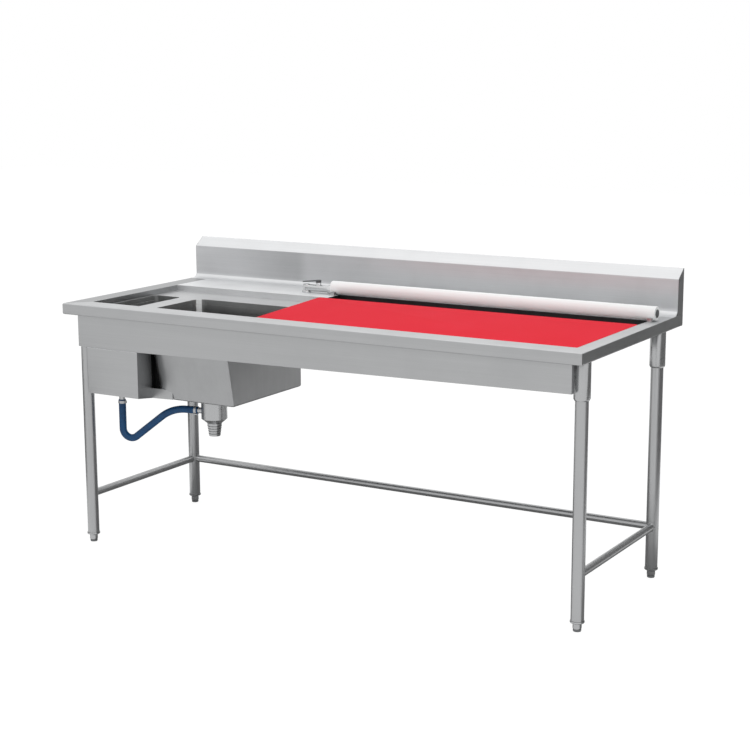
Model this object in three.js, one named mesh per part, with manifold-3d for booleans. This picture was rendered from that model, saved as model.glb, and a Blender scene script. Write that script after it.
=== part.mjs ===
// A stainless steel fish cleaning table: a worktop with a raised splash-back, a sink bowl and a narrow
// waste trough at the left, a lift-off cutting board let into the top, a rinse pipe with its valve along
// the back, and a frame of four round legs with levelling feet.
// Millimetres. +X runs to the right along the table, +Y to the back, +Z up. The origin is on the floor,
// under the middle of the worktop.
import * as THREE from "three";
import { mergeVertices } from "three/addons/utils/BufferGeometryUtils.js";
import Module from "manifold-3d";

const wasm = await Module();
wasm.setup();

// Clearances, and how far a cutting body reaches past what it cuts.
const seam = 0.3;
const rest = 0.2;
const overrun = 5;

// The worktop and the raised edge round it.
const tableLength = 1900;
const tableDepth = 800;
const workHeight = 850;
const sheet = 1.5;
const rimHeight = 38;
const rimReturn = 15;
const frontRimWidth = 70;
const leftRimWidth = 70;
const rightRimWidth = 45;

// The splash-back.
const splashHeight = 150;
const splashThickness = 44;
const splashSlope = 32;
const splashFoot = 11;
const coveRadius = 25;
const splashEndSheet = 1.2;

// The sunk field that takes the sinks and the board, and the rinse channel behind the board.
const fieldFromBack = 257;
const sinkLength = 641.5;
const channelWidth = 80;
const panDepth = 36;

// The cutting board and its bearers.
const boardGap = 3.5;
const boardThickness = 20;
const boardEdge = 2.5;
const boardSlant = 58;
const bearerWidth = 30;
const bearerInset = 15;
const bearerShares = [0.08, 0.5, 0.92];

// The mouth that the bowl and the trough share in front and behind, and the wide ledge behind it.
const mouthFrontInset = 4;
const ledgeWidth = 131;

// The main bowl.
const bowlLeft = 191.5;
const bowlMouthRight = 589.5;
const bowlWallLeft = 260;
const bowlWallRight = 543.5;
const bowlOverhang = 70;
const bowlShoulder = 150;
const bowlBackInset = 16;
const bowlShoulderFront = 17;
const bowlFloorFront = 50;
const bowlDepth = 318;
const bowlCorner = 38;
const bowlCrease = 6;
const bowlBottomRadius = 6;
const bowlFlange = 12;

// The waste trough.
const troughLeft = 4;
const troughRight = 117;
const troughDepth = 290;
const troughCorner = 16;
const troughBottomRadius = 14;
const troughFlange = 3;

// The apron and the cover in front of the trough.
const apronSetback = 35;
const apronDrop = 150;
const apronRise = 20;
const apronInsetLeft = 35;
const apronInsetRight = 45;
const coverDrop = 308;
const coverFromLeft = 70;
const coverWidth = 214;
const coverFlange = 18;
const coverTongue = 24;

// The frame under the top.
const frameWall = 2;
const sideChannelWidth = 29;
const rearBeamWidth = 40;
const stiffenerWidth = 60;
const stiffenerHeight = 25;
const stiffenerShare = 0.66;

// The legs, their sleeves and the rails.
const legDiameter = 40;
const legWall = 1.5;
const legInsetX = 32;
const legInsetFront = 80;
const legInsetBack = 130;
const legFoot = 34;
const sleeveDiameter = 50;
const sleeveDrop = 154;
const sleeveBevel = 6;
const sleeveCap = 2;
const railDiameter = 25;
const railWall = 1.5;
const railHeight = 172;

// The levelling feet.
const collarDiameter = 44;
const collarHeight = 6;
const collarBevel = 1.5;
const plugHeight = 30;
const screwDiameter = 12;
const screwTop = 60;
const footDiameter = 27;
const footBevel = 3;
const padDiameter = 25;
const padHeight = 8;
const padFlat = 16;
const padRound = 3;
const pivotDiameter = 10;
const pivotDepth = 4;

// The rinse pipe and its brackets.
const pipeDiameter = 45;
const pipeWall = 1.5;
const pipeLift = 2;
const pipeFromLeft = 688;
const pipeFromRight = 20;
const pipeCap = 3;
const jetDiameter = 4;
const jetCount = 12;
const jetInset = 70;
const jetTilt = 40;
const plugScrewDiameter = 16;
const plugHeadDiameter = 26;
const plugHeadHeight = 3;
const bracketWidth = 14;
const bracketHeight = 12;
const bracketWing = 6;
const bracketInset = 7;

// The valve.
const valveDrop = 8;
const valveDiameter = 24;
const elbowDiameter = 24;
const elbowFromLeft = 578;
const elbowFlangeDiameter = 34;
const elbowFlangeHeight = 4;
const elbowSocket = 8;
const valveBore = 12;
const bonnetFromLeft = 628;
const bonnetDiameter = 18;
const bonnetHeight = 20;
const unionAcross = 28;
const unionLength = 18;
const nippleDiameter = 18;
const nippleLength = 10;
const spindleDiameter = 8;
const spindleLength = 8;
const leverHubDiameter = 20;
const leverHubHeight = 9;
const leverReach = 62;
const leverWidth = 12;
const leverThickness = 4;
const leverFall = 7;
const leverClear = 0.3;
const supplyDiameter = 21;
const supplyBore = 15;
const supplyLength = 90;
const locknutAcross = 30;
const locknutHeight = 7;

// The main waste and the strainer basket.
const wasteFromBowlFront = 86;
const wasteHole = 41;
const wasteFlangeRadius = 56;
const wasteFlangeHeight = 1.8;
const wasteNeckRadius = 40;
const wasteNeckBore = 37.5;
const wasteNeckDrop = 26;
const wasteSeatRadius = 41.3;
const wasteSeatDepth = 1;
const cupRadius = 44;
const cupWall = 3.7;
const cupFloor = 5;
const cupDepth = 83;
const cupBevel = 16;
const inletReach = 84;
const inletDrop = 44;
const spigotTop = 25;
const spigotTip = 19;
const spigotLength = 44;
const spigotBore = 15.5;
const spigotRibs = 4;
const spigotRib = 1.4;
const basketLip = 41;
const basketRadius = 36.5;
const basketDepth = 30;
const basketWall = 1.2;
const basketHole = 3;
const basketHoles = 8;
const basketHoleCircle = 20;
const knobStem = 4;
const knobRadius = 8;
const knobHeight = 6;
const knobTop = 3;

// The trough's drain stub, and the hose that joins it to the main waste.
const stubFromLeft = 128;
const stubFromFront = 142;
const stubRadius = 10.2;
const stubFlangeRadius = 17;
const stubBore = 8.2;
const stubDrop = 80;
const stubSides = 24;
const hoseDiameter = 25;
const hoseBore = 22;
const hoseSides = 12;
const hoseSteps = 34;
const hoseOverlap = 24;
const hoseBend = 32;
const hoseRise = 38;
const hoseArch = 150;
const hoseLead = 46.8;
const clampWidth = 9;
const clampWall = 1.2;
const clampInset = 4;

// Places worked out from the sizes. Heights are from the work surface, unless they are the frame's.
const leftEdge = -tableLength / 2;
const rightEdge = tableLength / 2;
const frontEdge = -tableDepth / 2;
const backEdge = tableDepth / 2;
const fieldLeft = leftEdge + leftRimWidth;
const fieldRight = rightEdge - rightRimWidth;
const fieldFront = frontEdge + frontRimWidth;
const fieldBack = backEdge - fieldFromBack;
const channelBack = fieldBack + channelWidth;
const boardLeft = fieldLeft + sinkLength;
const boardRight = fieldRight - boardGap;
const boardFront = fieldFront + boardGap;
const boardBack = fieldBack - boardGap;
const channelLeft = boardLeft + boardGap;
const ledgeTop = -boardThickness - rest;
const panLeft = fieldLeft + bowlMouthRight + seam;
const panUnderside = -panDepth - sheet;
const splashFront = backEdge - splashThickness;
const deckBack = splashFront - coveRadius - splashFoot;
const mouthFront = fieldFront + mouthFrontInset;
const mouthBack = fieldBack - ledgeWidth;
const bowlTop = panUnderside - seam;
const bowlFloor = -bowlDepth + sheet;
const legX = tableLength / 2 - legInsetX;
const legFront = frontEdge + legInsetFront;
const legBack = backEdge - legInsetBack;
const apronFront = frontEdge + apronSetback;
const apronFlange = legFront - sleeveDiameter / 2 - seam - apronFront;
const apronLeft = leftEdge + apronInsetLeft;
const apronRight = rightEdge - apronInsetRight;
const coverLeft = leftEdge + coverFromLeft;
const coverRight = coverLeft + coverWidth;
const pipeY = channelBack;
const pipeZ = pipeLift + pipeDiameter / 2;
const pipeLeft = leftEdge + pipeFromLeft;
const pipeRight = rightEdge - pipeFromRight;
const valveZ = pipeZ - valveDrop;
const elbowX = leftEdge + elbowFromLeft;
const bonnetX = leftEdge + bonnetFromLeft;
const bonnetTop = valveZ + bonnetHeight;
const wasteX = fieldLeft + (bowlWallLeft + bowlWallRight) / 2;
const wasteY = fieldFront + bowlFloorFront + wasteFromBowlFront;
const cupTop = -bowlDepth - seam;
const stubX = leftEdge + stubFromLeft;
const stubY = frontEdge + stubFromFront;
const troughFloor = -troughDepth + sheet;
const inletTurn = THREE.MathUtils.radToDeg(Math.atan2(wasteY - stubY, wasteX - stubX));

// Finishes.
const brushed = new THREE.MeshStandardMaterial({ color: 0xb4b6b8, roughness: 0.38, metalness: 1 });
const polished = new THREE.MeshStandardMaterial({ color: 0xcfd1d3, roughness: 0.12, metalness: 1 });
const boardRed = new THREE.MeshStandardMaterial({ color: 0xe8303c, roughness: 0.5, metalness: 0 });
const hoseBlue = new THREE.MeshStandardMaterial({ color: 0x1f4a86, roughness: 0.45, metalness: 0 });
const nylonGrey = new THREE.MeshStandardMaterial({ color: 0x8f9192, roughness: 0.5, metalness: 0 });
const padGrey = new THREE.MeshStandardMaterial({ color: 0x6f7173, roughness: 0.7, metalness: 0 });
const whitePlastic = new THREE.MeshStandardMaterial({ color: 0xe6e7e6, roughness: 0.45, metalness: 0 });

// A closed three.js geometry as a solid that can be joined and cut.
function solid(geometry) {
  const flat = geometry.index ? geometry.toNonIndexed() : geometry.clone();
  flat.deleteAttribute("normal");
  flat.deleteAttribute("uv");
  const merged = mergeVertices(flat);
  const mesh = new wasm.Mesh({
    numProp: 3,
    vertProperties: new Float32Array(merged.attributes.position.array),
    triVerts: new Uint32Array(merged.index.array),
  });
  return new wasm.Manifold(mesh);
}

// A solid back as a geometry, with flat facets.
function geometryOf(body) {
  const mesh = body.getMesh();
  const geometry = new THREE.BufferGeometry();
  geometry.setAttribute("position", new THREE.BufferAttribute(mesh.vertProperties, mesh.numProp));
  geometry.setIndex(new THREE.BufferAttribute(mesh.triVerts, 1));
  const flat = geometry.toNonIndexed();
  flat.computeVertexNormals();
  return flat;
}

function joined(...bodies) {
  return bodies.reduce((all, next) => all.add(next));
}

function cut(body, ...tools) {
  return tools.reduce((left, tool) => left.subtract(tool), body);
}

function box(x0, x1, y0, y1, z0, z1) {
  const geometry = new THREE.BoxGeometry(x1 - x0, y1 - y0, z1 - z0);
  geometry.translate((x0 + x1) / 2, (y0 + y1) / 2, (z0 + z1) / 2);
  return solid(geometry);
}

// A turned piece on the Z axis. The profile is [radius, height] points, anticlockwise round the metal.
function turned(profile, sides = 32) {
  const ring = profile.map(([radius, height]) => new THREE.Vector2(radius, height));
  if (profile[0][0] > 0) ring.push(ring[0].clone());
  const geometry = new THREE.LatheGeometry(ring, sides);
  geometry.rotateX(Math.PI / 2);
  return solid(geometry);
}

function rod(radius, z0, z1, sides = 32) {
  const geometry = new THREE.CylinderGeometry(radius, radius, z1 - z0, sides);
  geometry.rotateX(Math.PI / 2);
  geometry.translate(0, 0, (z0 + z1) / 2);
  return solid(geometry);
}

// A hexagon by its width across the flats, with one flat square to +Y.
function hexagon(across, z0, z1) {
  return rod(across / 2 / Math.cos(Math.PI / 6), z0, z1, 6).rotate([0, 0, 30]);
}

function alongX(body) {
  return body.rotate([0, 90, 0]);
}

// An outline of [y, z] points drawn out from x0 to x1.
function drawnAlongX(points, x0, x1) {
  const shape = new THREE.Shape(points.map(([y, z]) => new THREE.Vector2(y, z)));
  const geometry = new THREE.ExtrudeGeometry(shape, { depth: x1 - x0, bevelEnabled: false, steps: 1 });
  const turn = new THREE.Matrix4().makeBasis(
    new THREE.Vector3(0, 1, 0),
    new THREE.Vector3(0, 0, 1),
    new THREE.Vector3(1, 0, 0),
  );
  geometry.applyMatrix4(turn);
  geometry.translate(x0, 0, 0);
  return solid(geometry);
}

// An outline of [x, z] points drawn out from y0 to y1.
function drawnAlongY(points, y0, y1) {
  const mirrored = points.map(([x, z]) => [-x, z]);
  return drawnAlongX(mirrored, y0, y1).rotate([0, 0, 90]);
}

// The outline of a folded sheet: its outer line, and the same line set in by the sheet's thickness.
function foldedOutline(line, thickness) {
  const points = line.map(([a, b]) => new THREE.Vector2(a, b));
  const sideOf = (p, q) => new THREE.Vector2(q.y - p.y, p.x - q.x).normalize();
  const inner = points.map((point, i) => {
    const before = i > 0 ? sideOf(points[i - 1], point) : null;
    const after = i < points.length - 1 ? sideOf(point, points[i + 1]) : null;
    if (!before || !after) return point.clone().addScaledVector(before || after, thickness);
    const middle = before.clone().add(after).normalize();
    return point.clone().addScaledVector(middle, thickness / middle.dot(before));
  });
  return [...points, ...inner.reverse()].map((p) => [p.x, p.y]);
}

// A rounded rectangle as a ring of points. Its left corners have one radius, its right corners another.
function roundedRing({ x0, x1, y0, y1, z, left, right }, steps) {
  const corners = [
    [x1 - right, y1 - right, right],
    [x0 + left, y1 - left, left],
    [x0 + left, y0 + left, left],
    [x1 - right, y0 + right, right],
  ];
  return corners.flatMap(([cx, cy, radius], quarter) =>
    Array.from({ length: steps + 1 }, (_, i) => {
      const angle = ((quarter + i / steps) * Math.PI) / 2;
      return [cx + radius * Math.cos(angle), cy + radius * Math.sin(angle), z];
    }),
  );
}

// A closed skin through rounded rectangles, listed from the lowest to the highest.
function lofted(sections, steps = 6) {
  const rings = sections.map((section) => roundedRing(section, steps));
  const count = rings[0].length;
  const faces = [];
  rings.slice(1).forEach((upper, k) => {
    const lower = rings[k];
    for (let i = 0; i < count; i++) {
      const j = (i + 1) % count;
      faces.push(lower[i], lower[j], upper[j], lower[i], upper[j], upper[i]);
    }
  });
  const top = rings[rings.length - 1];
  for (let i = 1; i < count - 1; i++) {
    faces.push(rings[0][0], rings[0][i + 1], rings[0][i]);
    faces.push(top[0], top[i], top[i + 1]);
  }
  const geometry = new THREE.BufferGeometry();
  geometry.setAttribute("position", new THREE.Float32BufferAttribute(faces.flat(), 3));
  return solid(geometry);
}

function grown({ x0, x1, y0, y1, z, left, right }, by) {
  return { x0: x0 - by, x1: x1 + by, y0: y0 - by, y1: y1 + by, z, left: left + by, right: right + by };
}

function inset(section, by) {
  return { ...grown(section, -by), left: section.left, right: section.right };
}

const table = new THREE.Group();
const top = new THREE.Group();
top.position.z = workHeight;
table.add(top);

function place(group, name, body, material, x = 0, y = 0, z = 0) {
  const mesh = new THREE.Mesh(geometryOf(body), material.clone());
  mesh.name = name;
  mesh.position.set(x, y, z);
  group.add(mesh);
}

// The front edge of the worktop: a sheet folded down and in, closed at both ends.
function frontRim() {
  const fold = box(leftEdge, rightEdge, frontEdge, fieldFront, -rimHeight, 0);
  const ends = [leftEdge + sheet, rightEdge - sheet];
  const behind = fieldFront + overrun;
  const room = box(...ends, frontEdge + sheet, behind, sheet - rimHeight, -sheet);
  const returned = frontEdge + rimReturn;
  const underside = box(...ends, returned, behind, -rimHeight - overrun, 2 * sheet - rimHeight);
  return cut(fold, room, underside);
}

// A side edge of the worktop: the top stops at the splash-back, the outer face runs on to the wall.
function sideRim(outer, inner) {
  const sense = Math.sign(outer);
  const front = fieldFront + seam;
  const between = (a, b) => [Math.min(a, b), Math.max(a, b)];
  const deck = box(...between(outer, inner), front, deckBack, -sheet, 0);
  const side = box(...between(outer, outer - sense * sheet), front, backEdge, -rimHeight, 0);
  const returned = between(outer, outer - sense * rimReturn);
  const under = box(...returned, front, backEdge - sheet - seam, -rimHeight, -rimHeight + sheet);
  return joined(deck, side, under);
}

// The deck behind the sunk field. Its front is stepped back where the rinse channel runs.
function rearDeck() {
  const plate = box(fieldLeft + seam, fieldRight - seam, fieldBack, deckBack, -sheet, 0);
  const channel = box(channelLeft, rightEdge, fieldFront, channelBack, -overrun, overrun);
  const hole = rod(supplyDiameter / 2 + seam, -overrun, overrun, 24);
  return cut(plate, channel, hole.translate([elbowX, pipeY, 0]));
}

// The splash-back: one sheet that rises from the deck through a cove, slopes to the wall and turns down.
function splashBack() {
  const coveSteps = 6;
  const cove = Array.from({ length: coveSteps + 1 }, (_, i) => {
    const angle = (i / coveSteps) * (Math.PI / 2);
    return [
      splashFront - coveRadius + coveRadius * Math.sin(angle),
      coveRadius - coveRadius * Math.cos(angle),
    ];
  });
  const line = [
    [deckBack + seam, 0],
    ...cove,
    [splashFront, splashHeight - splashSlope],
    [backEdge, splashHeight],
    [backEdge, -rimHeight],
  ];
  const ends = sheet + seam;
  return drawnAlongX(foldedOutline(line, sheet), leftEdge + ends, rightEdge - ends);
}

// A flat plate that closes one end of the splash-back.
function splashEnd() {
  const outline = [
    [splashFront, seam],
    [backEdge, seam],
    [backEdge, splashHeight],
    [splashFront, splashHeight - splashSlope],
  ];
  return drawnAlongX(outline, 0, splashEndSheet);
}

// The pan under the board, with the rinse channel along its back. Its left end is open to the bowl.
function boardPan() {
  const field = (by, z0, z1) =>
    box(panLeft + by, fieldRight - seam - by, fieldFront + seam + by, fieldBack - seam - by, z0, z1);
  const channel = (by, z0, z1) =>
    box(
      channelLeft + seam + by,
      fieldRight - seam - by,
      fieldFront + seam + by,
      channelBack - seam - by,
      z0,
      z1,
    );
  const outer = joined(field(0, panUnderside, 0), channel(0, panUnderside, 0));
  const room = joined(field(sheet, -panDepth, overrun), channel(sheet, -panDepth, overrun));
  const end = [panLeft - overrun, panLeft + overrun];
  const spill = box(...end, mouthFront, mouthBack, -panDepth, overrun);
  const step = box(...end, fieldFront + seam + sheet, fieldBack - seam - sheet, ledgeTop, overrun);
  return cut(outer, room, spill, step);
}

// The mouths of the bowl and the trough, as rings at the height z.
function bowlMouth(z) {
  return {
    x0: fieldLeft + bowlLeft,
    x1: fieldLeft + bowlMouthRight,
    y0: mouthFront,
    y1: mouthBack,
    z,
    left: bowlCorner,
    right: bowlCrease,
  };
}

function troughMouth(z) {
  return {
    x0: fieldLeft + troughLeft,
    x1: fieldLeft + troughRight,
    y0: mouthFront,
    y1: mouthBack,
    z,
    left: troughCorner,
    right: troughCorner,
  };
}

// The ledge round the bowl and the trough: walls up to the worktop, a shelf level with the underside of
// the board, and a lip down into each mouth. It is open at the right, where the pan meets the bowl.
function sinkLedge() {
  const right = panLeft - seam;
  const front = fieldFront + seam;
  const back = fieldBack - seam;
  const lipFoot = bowlTop + seam;
  const shelf = box(fieldLeft + seam, right, front, back, ledgeTop - sheet, 0);
  const room = box(
    fieldLeft + seam + sheet,
    right + overrun,
    front + sheet,
    back - sheet,
    ledgeTop,
    overrun,
  );
  const past = right + 2 * overrun + bowlCrease;
  const openMouth = (z) => ({ ...bowlMouth(z), x1: past });
  const bowlLip = lofted([grown(openMouth(lipFoot), sheet), grown(openMouth(ledgeTop), sheet)]);
  const bowlHole = lofted([openMouth(lipFoot - overrun), openMouth(overrun)]);
  const troughLip = lofted([grown(troughMouth(lipFoot), sheet), grown(troughMouth(ledgeTop), sheet)]);
  const troughHole = lofted([troughMouth(lipFoot - overrun), troughMouth(overrun)]);
  const beyond = box(right, past + 2 * overrun, frontEdge, backEdge, panUnderside - overrun, overrun);
  return cut(joined(cut(shelf, room), bowlLip, troughLip), bowlHole, troughHole, beyond);
}

// A pressed bowl: a skin through its rings, a flange to weld under the ledge, and a drain hole.
function pressedBowl(rings, flangeWidth, holeRadius, holeX, holeY) {
  const rim = rings[rings.length - 1];
  const shell = rings.map((ring, i) => ({ ...grown(ring, sheet), z: i ? ring.z : ring.z - sheet }));
  const room = lofted([...rings, { ...rim, z: rim.z + overrun }]);
  const flange = lofted([{ ...grown(rim, flangeWidth), z: rim.z - sheet }, grown(rim, flangeWidth)]);
  const hole = rod(holeRadius, rings[0].z - overrun, rings[0].z + overrun, 40);
  return cut(joined(lofted(shell), flange), room, hole.translate([holeX, holeY, 0]));
}

// The front of the bowl leans in from the shoulder to the floor.
function bowlFrontAt(z) {
  const share = (-bowlShoulder - z) / (bowlDepth - bowlShoulder);
  return fieldFront + bowlShoulderFront + share * (bowlFloorFront - bowlShoulderFront);
}

// The bowl, from its floor up to the shoulder. There it widens to both sides, to the right to reach under
// the pan, and its back leans forward under the ledge to the mouth.
function mainBowl() {
  const wallLeft = fieldLeft + bowlWallLeft;
  const wallRight = fieldLeft + bowlWallRight;
  const back = fieldBack - bowlBackInset;
  const body = (z, by) =>
    inset({ ...bowlMouth(z), x0: wallLeft, x1: wallRight, y0: bowlFrontAt(z), y1: back }, by);
  const rounding = (angle) =>
    body(bowlFloor + bowlBottomRadius * (1 - Math.cos(angle)), bowlBottomRadius * (1 - Math.sin(angle)));
  const turns = [0, Math.PI / 6, Math.PI / 3, Math.PI / 2];
  const share = (bowlShoulder - bowlOverhang) / (bowlShoulder + bowlTop);
  const overhang = {
    ...bowlMouth(-bowlOverhang),
    x0: wallLeft + share * (bowlLeft - bowlWallLeft),
    x1: wallRight + share * (bowlMouthRight - bowlWallRight),
    y0: bowlFrontAt(-bowlShoulder) + share * (mouthFront - bowlFrontAt(-bowlShoulder)),
  };
  const rings = [...turns.map(rounding), body(-bowlShoulder, 0), overhang, bowlMouth(bowlTop)];
  return pressedBowl(rings, bowlFlange, wasteHole, wasteX, wasteY);
}

// The trough, a narrow deep bowl with upright walls.
function troughBowl() {
  const rounding = (angle) =>
    inset(
      troughMouth(troughFloor + troughBottomRadius * (1 - Math.cos(angle))),
      troughBottomRadius * (1 - Math.sin(angle)),
    );
  const rings = [...[0, Math.PI / 4, Math.PI / 2].map(rounding), troughMouth(bowlTop)];
  return pressedBowl(rings, troughFlange, stubRadius + seam, stubX, stubY);
}

// The apron: a sheet with a flange at its head and its foot. The foot is level above the cover and
// rises from there to the right end.
function frontApron() {
  const head = -sheet - seam;
  const line = [
    [apronFront + apronFlange, -apronDrop],
    [apronFront, -apronDrop],
    [apronFront, head],
    [apronFront + apronFlange, head],
  ];
  const fold = foldedOutline(line, sheet);
  const level = drawnAlongX(fold, apronLeft, coverRight);
  const rising = drawnAlongX(fold, coverRight, apronRight).warp((point) => {
    const share = (point[0] - coverRight) / (apronRight - coverRight);
    if (point[2] < -apronDrop / 2) point[2] += apronRise * share;
  });
  return joined(level, rising);
}

// The cover in front of the trough: a sheet with a flange under the apron and a return at each side. At
// its foot the right return has a tongue that laps the front of the bowl.
function coverPanel() {
  const head = -apronDrop - seam;
  const foot = -coverDrop;
  const lap = bowlFrontAt(foot + coverTongue) - sheet - seam;
  const inner = coverRight - sheet;
  const tip = fieldLeft + bowlWallLeft + bowlCorner;
  return joined(
    box(coverLeft, coverRight, apronFront, apronFront + sheet, foot, head),
    box(coverLeft, coverRight, apronFront, apronFront + coverFlange, head - sheet, head),
    box(coverLeft, coverLeft + sheet, apronFront, mouthFront - sheet - seam, foot, head),
    box(inner, coverRight, apronFront, lap, foot, head),
    box(inner, tip, lap - sheet, lap, foot, foot + coverTongue),
  );
}

// A channel section with its open side down, centred on the origin and standing on z0.
function channelOutline(width, z0, z1) {
  return [
    [-width / 2, z0],
    [-width / 2 + frameWall, z0],
    [-width / 2 + frameWall, z1 - frameWall],
    [width / 2 - frameWall, z1 - frameWall],
    [width / 2 - frameWall, z0],
    [width / 2, z0],
    [width / 2, z1],
    [-width / 2, z1],
  ];
}

// The members under the worktop: one along each side on the leg sleeves, one along the back, and a
// stiffener across under the board.
function frame() {
  const head = -sheet - seam;
  const sideX = rightEdge - rimReturn - seam - sideChannelWidth / 2;
  const front = legFront - sleeveDiameter / 2;
  const back = legBack + sleeveDiameter / 2;
  const side = drawnAlongY(channelOutline(sideChannelWidth, -rimHeight, head), front, back);
  place(top, "left_channel", side, brushed, -sideX);
  place(top, "right_channel", side, brushed, sideX);
  const half = sideX - sideChannelWidth / 2 - seam;
  const rear = drawnAlongX(channelOutline(rearBeamWidth, panUnderside, head), -half, half);
  place(top, "rear_channel", rear, brushed, 0, legBack);
  const under = panUnderside - seam;
  const cross = drawnAlongY(
    channelOutline(stiffenerWidth, under - stiffenerHeight, under),
    apronFront + sheet + seam,
    legBack + rearBeamWidth / 2,
  );
  place(top, "cross_stiffener", cross, brushed, leftEdge + stiffenerShare * tableLength);
}

// A leg sleeve: a socket with a closed head under the side member and a bevelled foot.
function sleeve() {
  const head = -rimHeight - seam;
  const outer = sleeveDiameter / 2;
  const inner = legDiameter / 2 + seam;
  return turned([
    [0, head - sleeveCap],
    [inner, head - sleeveCap],
    [inner, -sleeveDrop],
    [outer - sleeveBevel / 2, -sleeveDrop],
    [outer, -sleeveDrop + sleeveBevel],
    [outer, head],
    [0, head],
  ]);
}

function tube(outer, wall, z0, z1, sides = 32) {
  return cut(rod(outer, z0, z1, sides), rod(outer - wall, z0 - overrun, z1 + overrun, sides));
}

function leg() {
  const head = workHeight - rimHeight - sleeveCap - 2 * seam;
  return tube(legDiameter / 2, legWall, legFoot, head);
}

// A rail between two legs that stand `span` apart, saddled to the round of each leg.
function rail(span) {
  const bar = tube(railDiameter / 2, railWall, -span / 2, span / 2, 24);
  const post = rod(legDiameter / 2 + seam, -legDiameter, legDiameter);
  const lying = alongX(bar);
  return cut(lying, post.translate([-span / 2, 0, 0]), post.translate([span / 2, 0, 0]));
}

// A foot's collar and plug, pressed into the leg, with the tapped hole for the screw.
function footInsert() {
  const plug = legDiameter / 2 - legWall - seam;
  const collar = collarDiameter / 2;
  const foot = legFoot - seam - collarHeight;
  const bore = screwDiameter / 2 + seam;
  return turned([
    [bore, foot],
    [collar - collarBevel, foot],
    [collar, foot + collarBevel],
    [collar, legFoot - seam],
    [plug, legFoot - seam],
    [plug, legFoot + plugHeight],
    [bore, legFoot + plugHeight],
  ]);
}

// The screwed foot: a grip drum with the screw above it and a pivot below it.
function footStem() {
  const foot = padHeight + seam;
  const head = legFoot - 2 * seam - collarHeight;
  const grip = footDiameter / 2;
  const screw = screwDiameter / 2;
  const pivot = pivotDiameter / 2;
  return turned([
    [0, padHeight - pivotDepth + seam],
    [pivot, padHeight - pivotDepth + seam],
    [pivot, foot],
    [grip - footBevel / 2, foot],
    [grip, foot + footBevel],
    [grip, head - footBevel],
    [grip - footBevel / 2, head],
    [screw, head],
    [screw, screwTop],
    [0, screwTop],
  ]);
}

// The pad under a foot, with a flat sole and a socket for the pivot.
function footPad() {
  const socket = pivotDiameter / 2 + seam;
  const floor = padHeight - pivotDepth;
  return turned([
    [0, 0],
    [padFlat / 2, 0],
    [padDiameter / 2 - padRound / 3, padRound / 3],
    [padDiameter / 2, padRound],
    [padDiameter / 2, padHeight],
    [socket, padHeight],
    [socket, floor],
    [0, floor],
  ]);
}

function legs() {
  const corners = [
    ["front_left", -legX, legFront],
    ["front_right", legX, legFront],
    ["rear_left", -legX, legBack],
    ["rear_right", legX, legBack],
  ];
  for (const [corner, x, y] of corners) {
    place(top, `leg_sleeve_${corner}`, sleeve(), brushed, x, y);
    place(table, `leg_${corner}`, leg(), brushed, x, y);
    place(table, `foot_insert_${corner}`, footInsert(), nylonGrey, x, y);
    place(table, `foot_stem_${corner}`, footStem(), brushed, x, y);
    place(table, `foot_pad_${corner}`, footPad(), padGrey, x, y);
  }
  const side = rail(legBack - legFront).rotate([0, 0, 90]);
  const middle = (legFront + legBack) / 2;
  place(table, "rail_left", side, brushed, -legX, middle, railHeight);
  place(table, "rail_right", side, brushed, legX, middle, railHeight);
  place(table, "rail_rear", rail(2 * legX), brushed, 0, legBack, railHeight);
}

// The cutting board, with its left end cut on a slant and its edges eased.
function cuttingBoard() {
  const outline = new THREE.Shape([
    new THREE.Vector2(boardLeft + boardSlant / 2 + boardEdge, boardFront + boardEdge),
    new THREE.Vector2(boardRight - boardEdge, boardFront + boardEdge),
    new THREE.Vector2(boardRight - boardEdge, boardBack - boardEdge),
    new THREE.Vector2(boardLeft - boardSlant / 2 + boardEdge, boardBack - boardEdge),
  ]);
  const geometry = new THREE.ExtrudeGeometry(outline, {
    depth: boardThickness - 2 * boardEdge,
    bevelEnabled: true,
    bevelThickness: boardEdge,
    bevelSize: boardEdge,
    bevelSegments: 2,
  });
  geometry.translate(0, 0, boardEdge - boardThickness);
  return solid(geometry);
}

function boardAndBearers() {
  place(top, "cutting_board", cuttingBoard(), boardRed);
  const front = boardFront + bearerInset;
  const back = boardBack - bearerInset;
  bearerShares.forEach((share, i) => {
    const bar = box(-bearerWidth / 2, bearerWidth / 2, front, back, seam - panDepth, ledgeTop);
    place(top, `board_bearer_${i + 1}`, bar, whitePlastic, boardLeft + share * (boardRight - boardLeft));
  });
}

// The rinse pipe: a tube closed at both ends, with a row of jets aimed down at the board and a hole at
// each end for the valve's nipple and the clean-out plug.
function rinsePipe() {
  const radius = pipeDiameter / 2;
  const shell = rod(radius, 0, pipeRight - pipeLeft);
  const room = rod(radius - pipeWall, pipeCap, pipeRight - pipeLeft - pipeCap);
  const left = rod(nippleDiameter / 2 + seam, -overrun, pipeCap + overrun, 24);
  const right = rod(plugScrewDiameter / 2 + seam, -overrun, pipeCap + overrun, 24);
  const bored = cut(
    alongX(shell),
    alongX(room),
    alongX(left).translate([0, 0, -valveDrop]),
    alongX(right).translate([pipeRight - pipeLeft - pipeCap, 0, 0]),
  );
  const jet = rod(jetDiameter / 2, -radius - overrun, 0, 8).rotate([-jetTilt, 0, 0]);
  const pitch = (pipeRight - pipeLeft - 2 * jetInset) / (jetCount - 1);
  const jets = Array.from({ length: jetCount }, (_, i) => jet.translate([jetInset + i * pitch, 0, 0]));
  return cut(bored, ...jets);
}

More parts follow.
